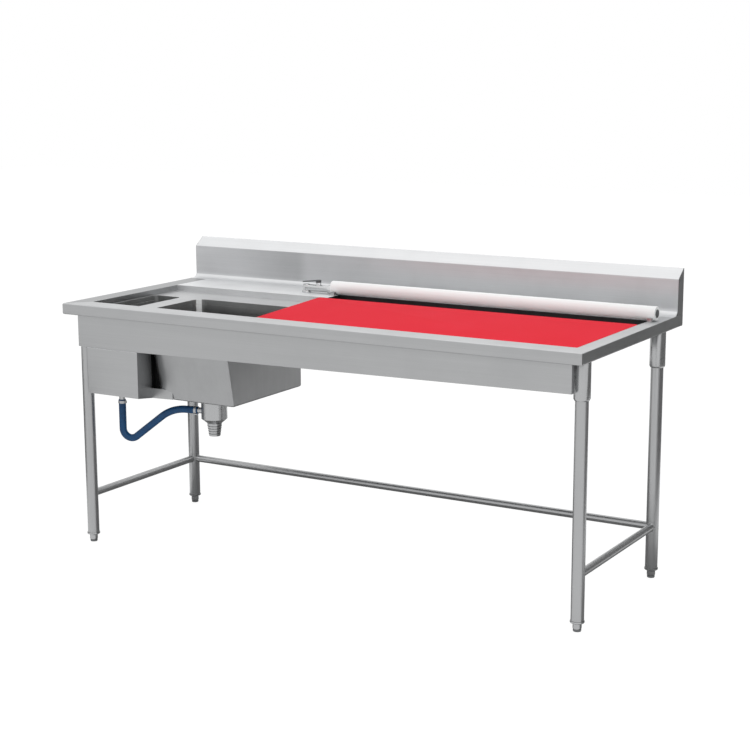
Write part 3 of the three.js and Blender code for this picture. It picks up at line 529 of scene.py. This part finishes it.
main_bowl = drawn_bowl("main_bowl_drawn", rings, bowl_flange, waste_x, waste_y, waste_hole, "main_bowl")

# The materials go in pairs, the skin inside the bowl and then the one outside it. A face holds the
# number of the one inside, and the sheet's thickness gives the other.
plain_pair = (steel_inside, steel_bowl)
highlight_pair = (steel_corner_highlight, steel_bowl)
lit_wall_pair = (steel_inside, steel_bowl_lit_wall)
foot_pair = (steel_bowl, steel_bowl)
paint(main_bowl, *plain_pair, *highlight_pair, *lit_wall_pair, *foot_pair)
in_highlight_pair, in_lit_wall_pair, in_foot_pair = 2, 4, 6
highlight_left, highlight_right, highlight_front = -0.70, -0.60, -0.03
foot_top = 0.60
right_wall = -0.40


def in_corner_highlight(face):
    """Whether an upright face lies in the painted highlight strip at the large bowl's rear left corner."""
    slanted = abs(face.normal.x) > 0.45 and abs(face.normal.y) > 0.45
    return slanted and highlight_left < face.center.x < highlight_right and face.center.y > highlight_front


for face in main_bowl.data.polygons:
    if face.center.z < foot_top:
        face.material_index = in_foot_pair
    # Painted light: the right wall's outside takes a lighter copy of the steel.
    if abs(face.normal.x) > 0.8 and face.center.x > right_wall:
        face.material_index = in_lit_wall_pair
    # Painted highlight: the rear left corner's upright faces between shoulder and mouth.
    if in_corner_highlight(face) and shoulder_z < face.center.z < mouth_z - 0.001:
        face.material_index = in_highlight_pair

trough_flange = 0.003
(flange_left, _, _), (flange_right, _, _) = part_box("trough_bowl")
trough_left, trough_right = flange_left + trough_flange, flange_right - trough_flange
trough_corner = 0.016
trough_floor = 0.5615
trough_round = 0.014
stub_x, stub_y, _ = middle("trough_stub")
stub_hole = 0.0105
rings = []
for inset, z in [*foot_round(trough_round, trough_floor, 6), (0.0, mouth_z)]:
    sides = (trough_left + inset, trough_right - inset, mouth_front + inset, mouth_back - inset)
    rings.append(ring(*sides, z, trough_corner, trough_corner))
trough = drawn_bowl("trough_drawn", rings, trough_flange, stub_x, stub_y, stub_hole, "trough_bowl")
paint(trough, steel_inside, steel_bowl)

# Apron and cover panel
# Folded stainless sheets below the front edge. The apron's foot rises a little towards the right end.
# The cover hides the trough: its right return ends in a folded recess, painted near-black as shade, and a
# tongue at the foot laps the front of the bowl.
(apron_left, apron_front, apron_foot_left), (apron_right, apron_back, apron_top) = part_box("front_apron")
apron_foot_right = 0.720
cover_right = -0.666
panel_bend = 0.0022
apron = sheet_metal(
    "apron_sheet",
    [
        (apron_left, apron_back, apron_top),
        (apron_right, apron_back, apron_top),
        (apron_left, apron_front, apron_top),
        (apron_right, apron_front, apron_top),
        (apron_left, apron_front, apron_foot_left),
        (cover_right, apron_front, apron_foot_left),
        (apron_right, apron_front, apron_foot_right),
        (apron_left, apron_back, apron_foot_left),
        (cover_right, apron_back, apron_foot_left),
        (apron_right, apron_back, apron_foot_right),
    ],
    [
        (2, 3, 1, 0),  # folded back at the top
        (3, 2, 4, 5, 6),  # front face
        (5, 4, 7, 8),  # folded back at the level foot
        (6, 5, 8, 9),  # folded back at the rising foot
        (3, 6, 9, 1),  # return at the right end
    ],
    [(2, 3), (4, 5), (5, 6), (3, 6)],
    panel_bend,
    "front_apron",
)
paint_by_facing(apron, steel_long, steel_deep, steel_top)
smooth(apron)

# The recess is steel painted nearly black, a painted shade for the dark slot behind the right return.
steel_shadow = brushed_steel("steel_recess_painted_shade", "#2A2B2C", "Z", roughness=0.6, clouds=0.2)
(_, _, cover_foot), (tongue_right, _, cover_top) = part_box("cover_panel")
top_lap, left_lap, cover_lap = -0.347, -0.3278, -0.2898
recess_left = -0.70
recess_front, recess_back = cover_lap + 0.006, -0.270
recess_foot = cover_foot + 0.004
recess_foot_right, recess_top_right = cover_right + 0.031, cover_right + 0.006
tongue_y = cover_lap + 0.003
tongue_foot_left, tongue_foot_right = cover_foot - 0.010, cover_foot - 0.008
tongue_top = cover_foot + 0.024
cover = sheet_metal(
    "cover_sheet",
    [
        (field_left, apron_front, cover_foot),
        (cover_right, apron_front, cover_foot),
        (cover_right, apron_front, cover_top),
        (field_left, apron_front, cover_top),
        (field_left, top_lap, cover_top),
        (cover_right, top_lap, cover_top),
        (field_left, left_lap, cover_foot),
        (field_left, left_lap, cover_top),
        (cover_right, cover_lap, tongue_foot_left),
        (cover_right, cover_lap, cover_top),
        (cover_right, cover_lap, tongue_top),
        (tongue_right, tongue_y, tongue_foot_right),
        (tongue_right, tongue_y, tongue_top),
        (cover_right, recess_back, recess_foot),
        (cover_right, recess_back, cover_top),
        (recess_foot_right, recess_back, recess_foot),
        (recess_top_right, recess_back, cover_top),
    ],
    [
        (0, 1, 2, 3),  # front face
        (3, 2, 5, 4),  # folded back at the top
        (0, 3, 4, 7, 6),  # left return
        (2, 1, 8, 10, 9, 5),  # right return
        (8, 11, 12, 10),  # tongue
        (10, 13, 14, 9),  # side of the recess
        (13, 15, 16, 14),  # back of the recess
    ],
    [(0, 3), (1, 2), (2, 3)],
    panel_bend,
    "cover_panel",
)


def in_recess(face):
    """Whether a face of the cover lies behind its right return."""
    return face.center.y > recess_front and face.center.x > recess_left


paint_by_facing(cover, steel_long, steel_deep, steel_top)
# Painted shade: the faces behind the right return take the near-black steel.
repaint(cover, steel_shadow, in_recess)
smooth(cover)


# Other folded sheets
# The sink ledge, the pan under the board, the frame's channels, the splash-back's ends and the pipe's
# saddles are stainless sheet, folded and welded. They keep their CAD shape, with broken edges.
def soften(obj, width):
    """Breaks the sharp edges of a CAD node: its split vertices are welded and its edges bevelled."""
    weld = obj.modifiers.new("weld", "WELD")
    weld.merge_threshold = 0.00002
    bevel = obj.modifiers.new("edge_break", "BEVEL")
    bevel.width = width
    bevel.segments = 2
    bevel.limit_method = "ANGLE"
    bevel.angle_limit = math.radians(40.0)
    bevel.harden_normals = True


def crisp(obj):
    """Flat faces, for folded sheet whose bends are already cut into the mesh."""
    obj.data.polygons.foreach_set("use_smooth", [False] * len(obj.data.polygons))
    obj.data.update()


def dress(name, material, shade=smooth, edge_break=None):
    """Gives a CAD node its material and shading, and breaks its edges where a width is given."""
    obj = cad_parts[name]
    if edge_break:
        soften(obj, edge_break)
    paint(obj, material)
    shade(obj)


# The steps round the board are painted lighter, as lit; the channel behind it is painted dark as shade.
# Small fittings are turned or tumbled to a finer, brighter satin.
steel_riser = brushed_steel("steel_step_painted_light", "#D6D7D8", "X", roughness=0.5, clouds=0.10)
gutter_painted_shade = brushed_steel("steel_channel_painted_shade", "#3C3E3F", "X", roughness=0.5, clouds=0.2)
steel_turned = brushed_steel("steel_turned_satin", "#B2B3B4", "Z", roughness=0.26, clouds=0.05, fine=0.3)
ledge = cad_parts["sink_ledge"]
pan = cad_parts["board_pan"]
for sheet in (ledge, pan):
    soften(sheet, 0.0005)
    paint_by_facing(sheet, steel_riser, steel_deep, steel_rim)
    crisp(sheet)
mouth_foot, mouth_head = 0.8126, 0.8290
channel_front, channel_left = 0.1395, -0.2660


def in_bowl_mouth(face):
    """Whether a face of the ledge is one of the upright ones that frame the bowls' mouths."""
    return mouth_foot < face.center.z < mouth_head and abs(face.normal.z) < 0.3


repaint(ledge, steel_inside, in_bowl_mouth)
# Painted highlight: the lip faces in the large bowl's rear left corner take the pale steel.
repaint(ledge, steel_corner_highlight, lambda face: in_bowl_mouth(face) and in_corner_highlight(face))
# Painted shade: the channel's faces behind the board take the dark steel.
repaint(pan, gutter_painted_shade, lambda face: face.center.y > channel_front and face.center.x > channel_left)
for name in ("splash_end_left", "splash_end_right", "left_channel", "right_channel", "cross_stiffener"):
    dress(name, steel_deep, crisp, 0.0006)
dress("rear_channel", steel_long, crisp, 0.0008)
for name in ("pipe_bracket_left", "pipe_bracket_right"):
    dress(name, steel_turned, crisp, 0.0008)

# Legs, sleeves and rails
# Welded stainless tube, ground along its length: legs of 40 mm in machined sleeves, and rails of 25 mm
# that are saddled to the legs and hold by a small rippled bead of weld.

# Tube is ground finer than sheet, so each one shows a clear bright stripe between two darker edges.
steel_tube = brushed_steel("steel_tube_ground_along_z", "#AEAFB0", "Z", roughness=0.3, clouds=0.06, fine=0.3)
steel_rail = brushed_steel("steel_tube_ground_along_x", "#AEAFB0", "X", roughness=0.3, clouds=0.06, fine=0.3)
steel_cross = brushed_steel("steel_tube_ground_along_y", "#AEAFB0", "Y", roughness=0.3, clouds=0.06, fine=0.3)
corners = ("front_left", "front_right", "rear_left", "rear_right")
for corner in corners:
    dress("leg_" + corner, steel_tube)
    dress("leg_sleeve_" + corner, steel_turned, edge_break=0.0008)
dress("rail_left", steel_cross)
dress("rail_right", steel_cross)
dress("rail_rear", steel_rail)

leg_x, leg_back, _ = middle("leg_rear_right")
_, leg_front, _ = middle("leg_front_right")
leg_radius = 0.020
_, _, rail_z = middle("rail_left")
rail_radius = 0.0125
bead_radius = 0.0016
ripples, ripple_height = 24, 0.18


def weld_bead(name, post_x, post_y, ahead):
    """A rippled fillet where a rail is saddled to a leg. `ahead` is the rail's direction."""
    side = Vector((-ahead.y, ahead.x, 0.0))
    turns = 72
    around = 8
    bm = bmesh.new()
    loops = []
    for i in range(turns):
        angle = 2 * math.pi * i / turns
        across = rail_radius * math.cos(angle)
        out = math.sqrt(leg_radius**2 - across**2)
        height = rail_z + rail_radius * math.sin(angle)
        seat = Vector((post_x, post_y, height)) + ahead * out + side * across
        radial = (side * math.cos(angle) + Vector((0.0, 0.0, math.sin(angle)))).normalized()
        size = bead_radius * (1 + ripple_height * math.sin(angle * ripples))
        tilts = [2 * math.pi * k / around for k in range(around)]
        loop = [seat + size * (math.cos(tilt) * ahead + math.sin(tilt) * radial) for tilt in tilts]
        loops.append([bm.verts.new(point) for point in loop])
    for i in range(turns):
        join_rings(bm, loops[i], loops[(i + 1) % turns])
    bmesh.ops.recalc_face_normals(bm, faces=bm.faces)
    bead = new_piece(name, finished(bm, name), "table", "tube_steel")
    paint(bead, steel_turned)
    smooth(bead, angle=80.0)


for side_name, x, inward in (("left", -leg_x, 1.0), ("right", leg_x, -1.0)):
    weld_bead("weld_rail_" + side_name + "_front", x, leg_front, Vector((0.0, 1.0, 0.0)))
    weld_bead("weld_rail_" + side_name + "_back", x, leg_back, Vector((0.0, -1.0, 0.0)))
    weld_bead("weld_rail_rear_" + side_name, x, leg_back, Vector((inward, 0.0, 0.0)))


# Levelling feet
# A turned steel insert is pressed into each leg. The foot's steel screw turns in it and stands on a
# round pad of moulded grey plastic.
def moulded(name, low, high, roughness):
    """Plastic or rubber with a fine sanded skin, mottled between two near colours. The skin's grain of
    about 0.2 mm is drawn 1.4 mm wide so that it shows."""
    grain_width, mottle_width, grain_height = 1.43, 33.3, 0.0002
    made, tree = new_material(name)
    place = node(tree, "ShaderNodeTexCoord").outputs["Object"]
    mottle = node(
        tree, "ShaderNodeTexNoise", {"Vector": place}, in_Scale=per_metre(mottle_width), in_Detail=4.0
    )
    skin = node(
        tree, "ShaderNodeTexNoise", {"Vector": place}, in_Scale=per_metre(grain_width), in_Detail=2.0
    )
    stops = [(0.3, tone(low)), (0.7, tone(high))]
    colour = node(tree, "ShaderNodeValToRGB", {"Fac": mottle.outputs["Fac"]}, stops)
    relief = node(
        tree, "ShaderNodeBump", {"Height": skin.outputs["Fac"]}, in_Strength=0.2, in_Distance=grain_height
    )
    gloss = node(
        tree,
        "ShaderNodeMapRange",
        {"Value": skin.outputs["Fac"]},
        in_To_Min=roughness - 0.06,
        in_To_Max=roughness + 0.06,
    )
    surface(tree, colour.outputs["Color"], gloss, relief)
    return made


# The pads' plastic is matt and mid grey, so they end the bright legs softly.
pad_plastic = moulded("pad_moulded_grey", "#66686A", "#747678", 0.6)
for corner in corners:
    dress("foot_insert_" + corner, steel_turned)
    dress("foot_stem_" + corner, steel_turned)
    dress("foot_pad_" + corner, pad_plastic)

# Cutting board
# Red polyethylene, 20 mm thick and planed, with eased edges and the fine knife marks of use. Its left
# end is cut on a slant. It lies loose on three white polyethylene bearers.

# The bearers are planed too, off-white and matt, where little light reaches them.
bearer_plastic = moulded("polyethylene_planed_white", "#D6D7D5", "#E4E5E3", 0.5)
for number in (1, 2, 3):
    dress(f"board_bearer_{number}", bearer_plastic, edge_break=0.0015)

# Planed polyethylene is matt and waxy, and its red hardly varies. Millimetres: its grain of about 0.3 mm
# is drawn 0.9 mm wide and the knife's cuts 4 mm apart, so that both show.
cloud_width = 200
pebble_width = 0.909
cut_width, cut_length = 3.85, 111
cut_slant = 0.12
board_red, tree = new_material("polyethylene_planed_red")
place = node(tree, "ShaderNodeTexCoord").outputs["Object"]
cloud = node(
    tree, "ShaderNodeTexNoise", {"Vector": place}, in_Scale=per_metre(cloud_width), in_Detail=5.0
)
board_stops = [(0.25, tone("#E82335")), (0.5, tone("#EA283A")), (0.8, tone("#EC3042"))]
colour = node(tree, "ShaderNodeValToRGB", {"Fac": cloud.outputs["Fac"]}, board_stops)
pebble = node(
    tree, "ShaderNodeTexNoise", {"Vector": place}, in_Scale=per_metre(pebble_width), in_Detail=3.0
)
cut_place = node(
    tree,
    "ShaderNodeMapping",
    {"Vector": place},
    in_Scale=(per_metre(cut_width), per_metre(cut_length), 1.0),
    in_Rotation=(0.0, 0.0, cut_slant),
)
knife = node(
    tree, "ShaderNodeTexNoise", {"Vector": cut_place.outputs["Vector"]}, in_Scale=1.0, in_Detail=1.0
)
cut_stops = [(0.66, grey(1.0)), (0.72, grey(0.0))]
cuts = node(tree, "ShaderNodeValToRGB", {"Fac": knife.outputs["Fac"]}, cut_stops)
heights = node(
    tree,
    "ShaderNodeMix",
    {"A": pebble.outputs["Fac"], "B": cuts.outputs["Color"]},
    data_type="FLOAT",
    in_Factor=0.25,
)
relief = node(
    tree, "ShaderNodeBump", {"Height": heights.outputs["Result"]}, in_Strength=0.35, in_Distance=0.0004
)
gloss = node(tree, "ShaderNodeMapRange", {"Value": cloud.outputs["Fac"]}, in_To_Min=0.7, in_To_Max=0.82)
surface(tree, colour.outputs["Color"], gloss, relief, in_Specular_IOR_Level=0.12)

slant_front, slant_back = -0.2095, -0.2675
corner_round = 0.006
edge_round = 0.0022
(_, board_front, board_foot), (board_right, board_back, board_head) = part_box("cutting_board")
outline = [
    (slant_front, board_front),
    (board_right, board_front),
    (board_right, board_back),
    (slant_back, board_back),
]
bm = bmesh.new()
lower = [bm.verts.new((x, y, board_foot)) for x, y in outline]
upper = [bm.verts.new((x, y, board_head)) for x, y in outline]
bm.faces.new(list(reversed(lower)))
bm.faces.new(upper)
join_rings(bm, lower, upper)
upright = [bm.edges.get(pair) for pair in zip(lower, upper)]
bmesh.ops.bevel(bm, geom=upright, offset=corner_round, segments=6, profile=0.5, affect="EDGES")
rims = [edge for edge in bm.edges if abs(edge.verts[0].co.z - edge.verts[1].co.z) < 1e-6]
bmesh.ops.bevel(bm, geom=rims, offset=edge_round, segments=4, profile=0.5, affect="EDGES")
board = new_piece(
    "red_cutting_board", finished(bm, "red_board"), "board", "board_plastic", "cutting_board"
)
paint(board, board_red)
smooth(board, angle=30.0)

# Rinse pipe and valve
# A blasted stainless tube lies in its saddles behind the board, with a rubber plug to clean it out. A
# quarter-turn valve with a vinyl-dipped lever feeds it from a supply pipe below the deck.

# Blasting leaves the pipe nearly white and without gloss. The valve's body is polished and mirrors the
# room. Vinyl and rubber are dark and dull.
steel_pipe = brushed_steel("steel_pipe_blasted", "#F7F8F8", "X", roughness=0.95, clouds=0.02, fine=0.3)
steel_polished = brushed_steel("steel_polished", "#C6C7C8", "X", roughness=0.24, clouds=0.04, fine=0.15)
lever_vinyl = moulded("vinyl_dipped_lever", "#3E4143", "#4B4E50", 0.4)
plug_rubber = moulded("rubber_plug", "#4A4C4D", "#565859", 0.55)
dress("rinse_pipe", steel_pipe, edge_break=0.0006)
dress("rinse_pipe_plug", plug_rubber, edge_break=0.0006)
dress("valve_body", steel_polished, edge_break=0.0006)
dress("valve_lever", lever_vinyl, edge_break=0.0006)
dress("supply_pipe", steel_turned, edge_break=0.0005)
dress("supply_locknut", steel_turned, edge_break=0.0005)

# Wastes
# A polished steel flange and a pressed strainer basket sit in the bowl's floor. The turned waste body
# with its ribbed spigot is screwed to the flange from below, and the trough drains through a short stub.
dress("waste_flange", steel_polished)
dress("strainer_basket", steel_polished)
dress("waste_body", steel_turned)
dress("trough_stub", steel_turned)

# Drain hose
# Blue plastic hose from the trough's stub, round a bend and up to the waste's side inlet, held by two
# worm clips. Its route repeats the one in the part, and the hose is pushed over the stub and the inlet.
hose_radius = 0.0125
_, _, stub_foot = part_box("trough_stub")[0]
inlet_z, inlet_reach = 0.4877, 0.084
overlap = 0.024
bend = 0.032
rise = math.radians(38)
arch = 0.150
inlet_run = 0.0468
hose_sides = 28
hose_end = math.hypot(waste_x - stub_x, waste_y - stub_y) - inlet_reach + overlap
crest = hose_end - inlet_run
arch_foot = crest - arch * math.sin(rise)
arch_foot_z = inlet_z - arch * (1 - math.cos(rise))
bend_end = bend * (1 + math.sin(rise))
bend_z = arch_foot_z - math.tan(rise) * (arch_foot - bend_end) + bend * math.cos(rise)
bend_end_z = bend_z - bend * math.cos(rise)


def spread(start, end, count):
    """Evenly spaced values from start to end, both included."""
    return [start + (end - start) * i / count for i in range(count + 1)]


# Each stretch is a list of distances from the stub and heights, and starts where the last one ends.
drop = [(0.0, z) for z in spread(stub_foot + overlap, bend_z, 10)]
bend_angles = spread(0, math.pi / 2 + rise, 28)
round_bend = [(bend * (1 - math.cos(a)), bend_z - bend * math.sin(a)) for a in bend_angles]
climb = list(zip(spread(bend_end, arch_foot, 12), spread(bend_end_z, arch_foot_z, 12)))
arch_angles = spread(rise, 0, 16)
over_arch = [(crest - arch * math.sin(a), inlet_z - arch * (1 - math.cos(a))) for a in arch_angles]
into_inlet = [(d, inlet_z) for d in spread(crest, hose_end, 6)]
hose_profile = drop + round_bend[1:] + climb[1:] + over_arch[1:] + into_inlet[1:]
towards_waste = Vector((waste_x - stub_x, waste_y - stub_y, 0.0)).normalized()
hose_line = [Vector((stub_x, stub_y, z)) + towards_waste * d for d, z in hose_profile]


def hose_mesh():
    """A tube along the hose's line, which lies in one upright plane, closed at its ends."""
    side = Vector((0.0, 0.0, 1.0)).cross(towards_waste)
    bm = bmesh.new()
    rings = []
    for i, point in enumerate(hose_line):
        ahead = (hose_line[min(i + 1, len(hose_line) - 1)] - hose_line[max(i - 1, 0)]).normalized()
        lift = side.cross(ahead).normalized()
        angles = [2 * math.pi * k / hose_sides for k in range(hose_sides)]
        loop = [point + hose_radius * (math.cos(a) * side + math.sin(a) * lift) for a in angles]
        rings.append([bm.verts.new(corner) for corner in loop])
    for lower, upper in zip(rings, rings[1:]):
        join_rings(bm, lower, upper)
    bm.faces.new(list(reversed(rings[0])))
    bm.faces.new(rings[-1])
    bmesh.ops.recalc_face_normals(bm, faces=bm.faces)
    return finished(bm, "tube")


# Extruded soft PVC is an even deep blue with a broad dull gloss. Millimetres: its skin's grain of about
# 0.1 mm is drawn 1.1 mm wide so that it shows.
drift_width = 22.2
skin_width = 1.11
hose_plastic, tree = new_material("pvc_hose_blue_extruded")
place = node(tree, "ShaderNodeTexCoord").outputs["Object"]
drift = node(
    tree, "ShaderNodeTexNoise", {"Vector": place}, in_Scale=per_metre(drift_width), in_Detail=3.0
)
hose_stops = [(0.3, tone("#123F68")), (0.75, tone("#1A4F7C"))]
colour = node(tree, "ShaderNodeValToRGB", {"Fac": drift.outputs["Fac"]}, hose_stops)
skin = node(
    tree, "ShaderNodeTexNoise", {"Vector": place}, in_Scale=per_metre(skin_width), in_Detail=2.0
)
relief = node(
    tree, "ShaderNodeBump", {"Height": skin.outputs["Fac"]}, in_Strength=0.15, in_Distance=0.0002
)
gloss = node(tree, "ShaderNodeMapRange", {"Value": drift.outputs["Fac"]}, in_To_Min=0.34, in_To_Max=0.46)
surface(tree, colour.outputs["Color"], gloss, relief, in_Specular_IOR_Level=0.3)

drain_hose = new_piece("blue_drain_hose", hose_mesh(), "table", "hose_plastic", "drain_hose")
paint(drain_hose, hose_plastic)
smooth(drain_hose, angle=50.0)
dress("hose_clip_trough", steel_turned)
dress("hose_clip_waste", steel_turned)

# Floor, world and lamps
# A plain white floor and surroundings, a wide soft lamp above and a smaller one in front, which light
# the top faces and leave the upright ones in a softer grey.
floor_half = 14.0
floor_z = -0.0005
floor_corners = [(x * floor_half, y * floor_half, 0) for x, y in ((-1, -1), (1, -1), (1, 1), (-1, 1))]
floor_mesh = bpy.data.meshes.new("studio_floor")
floor_mesh.from_pydata(floor_corners, [], [(0, 1, 2, 3)])
floor = bpy.data.objects.new("studio_floor", floor_mesh)
floor.location.z = floor_z
bpy.context.scene.collection.objects.link(floor)


def seen_directly(tree):
    """1 for rays that show the surroundings: from the camera, off gloss, or through glass."""
    path = node(tree, "ShaderNodeLightPath")
    seen = path.outputs["Is Camera Ray"]
    for ray in ("Is Glossy Ray", "Is Transmission Ray"):
        seen = node(tree, "ShaderNodeMath", {0: seen, 1: path.outputs[ray]}, operation="MAXIMUM").outputs[0]
    return seen


# White painted board, matt and without a visible edge: where it is seen it glows, so that it stays white
# up to the horizon, and elsewhere it is a plain white that throws light back under the table.
studio_white, tree = new_material("studio_floor_white")
plain = node(tree, "ShaderNodeBsdfDiffuse", in_Color=grey(0.8))
faint = node(tree, "ShaderNodeBsdfDiffuse", in_Color=grey(0.14))
glow = node(tree, "ShaderNodeEmission", in_Color=grey(1.0), in_Strength=0.93)
bright = node(tree, "ShaderNodeAddShader", {0: faint.outputs["BSDF"], 1: glow.outputs["Emission"]})
choice = node(
    tree,
    "ShaderNodeMixShader",
    {"Fac": seen_directly(tree), 1: plain.outputs["BSDF"], 2: bright.outputs["Shader"]},
)
node(tree, "ShaderNodeOutputMaterial", {"Surface": choice.outputs["Shader"]})
paint(floor, studio_white)

# Two grey flags stand out of sight, a tall one to the right and behind and a low one to the left, and a
# grey cloth lies below the table. They only show in the steel, where they draw darker edges down the
# tubes and shade the right-hand faces. Woven cotton, whose threads of 0.3 mm are drawn 3.3 mm wide.
thread_width = 3.33
flag_cloth, tree = new_material("flag_cloth_grey")
place = node(tree, "ShaderNodeTexCoord").outputs["Object"]
weave = node(tree, "ShaderNodeTexNoise", {"Vector": place}, in_Scale=per_metre(thread_width))
cloth_stops = [(0.4, tone("#A2A2A2")), (0.6, tone("#AAAAAA"))]
colour = node(tree, "ShaderNodeValToRGB", {"Fac": weave.outputs["Fac"]}, cloth_stops)
shader = node(tree, "ShaderNodeBsdfDiffuse", {"Color": colour.outputs["Color"]})
node(tree, "ShaderNodeOutputMaterial", {"Surface": shader.outputs["BSDF"]})


def hang(name, points, faces):
    """A cloth that only mirrors in the steel."""
    mesh = bpy.data.meshes.new(name)
    mesh.from_pydata(points, [], faces)
    obj = bpy.data.objects.new(name, mesh)
    bpy.context.scene.collection.objects.link(obj)
    obj.visible_camera = False
    obj.visible_diffuse = False
    obj.visible_shadow = False
    paint(obj, flag_cloth)


def flag(name, line, height):
    """A cloth hung upright along a line of floor points."""
    count = len(line)
    points = [(x, y, z) for z in (0.0, height) for x, y in line]
    hang(name, points, [(k, k + 1, count + k + 1, count + k) for k in range(count - 1)])


cloth_z = -0.0002
cloth_line = [(-1.05, -0.33), (1.60, -0.33), (0.60, 1.90), (-1.05, 1.90)]
flag("flag_right", [(1.75, -0.30), (1.85, 1.10), (1.30, 1.75), (0.10, 2.20)], 1.5)
flag("flag_left_low", [(-1.70, -0.90), (-1.70, 0.90)], 0.55)
hang("floor_cloth", [(x, y, cloth_z) for x, y in cloth_line], [(0, 1, 2, 3)])

# The surroundings are full white where they are seen, and light the table a little less than that.
world = bpy.data.worlds.new("studio")
bpy.context.scene.world = world
world.use_nodes = True
tree = world.node_tree
tree.nodes.clear()
fill = node(tree, "ShaderNodeBackground", in_Color=grey(1.0), in_Strength=0.70)
white = node(tree, "ShaderNodeBackground", in_Color=grey(1.0), in_Strength=1.0)
choice = node(
    tree,
    "ShaderNodeMixShader",
    {"Fac": seen_directly(tree), 1: fill.outputs["Background"], 2: white.outputs["Background"]},
)
node(tree, "ShaderNodeOutputWorld", {"Surface": choice.outputs["Shader"]})


def softbox(name, place, aim, width, depth, watts):
    """A rectangular lamp at a place, turned to a point that it lights."""
    data = bpy.data.lights.new(name, "AREA")
    data.shape = "RECTANGLE"
    data.size = width
    data.size_y = depth
    data.energy = watts
    lamp = bpy.data.objects.new(name, data)
    bpy.context.scene.collection.objects.link(lamp)
    lamp.location = place
    lamp.rotation_mode = "QUATERNION"
    lamp.rotation_quaternion = (Vector(aim) - Vector(place)).to_track_quat("-Z", "Y")
    lamp.visible_camera = False


softbox("lamp_above", place=(-0.6, 0.4, 3.6), aim=(-0.5, 0.3, 0.8), width=9.0, depth=5.0, watts=28.0)
softbox("lamp_front", place=(2.6, -3.4, 3.8), aim=(0.0, 0.0, 0.8), width=4.0, depth=3.0, watts=60.0)

bpy.context.scene.view_settings.view_transform = "Standard"
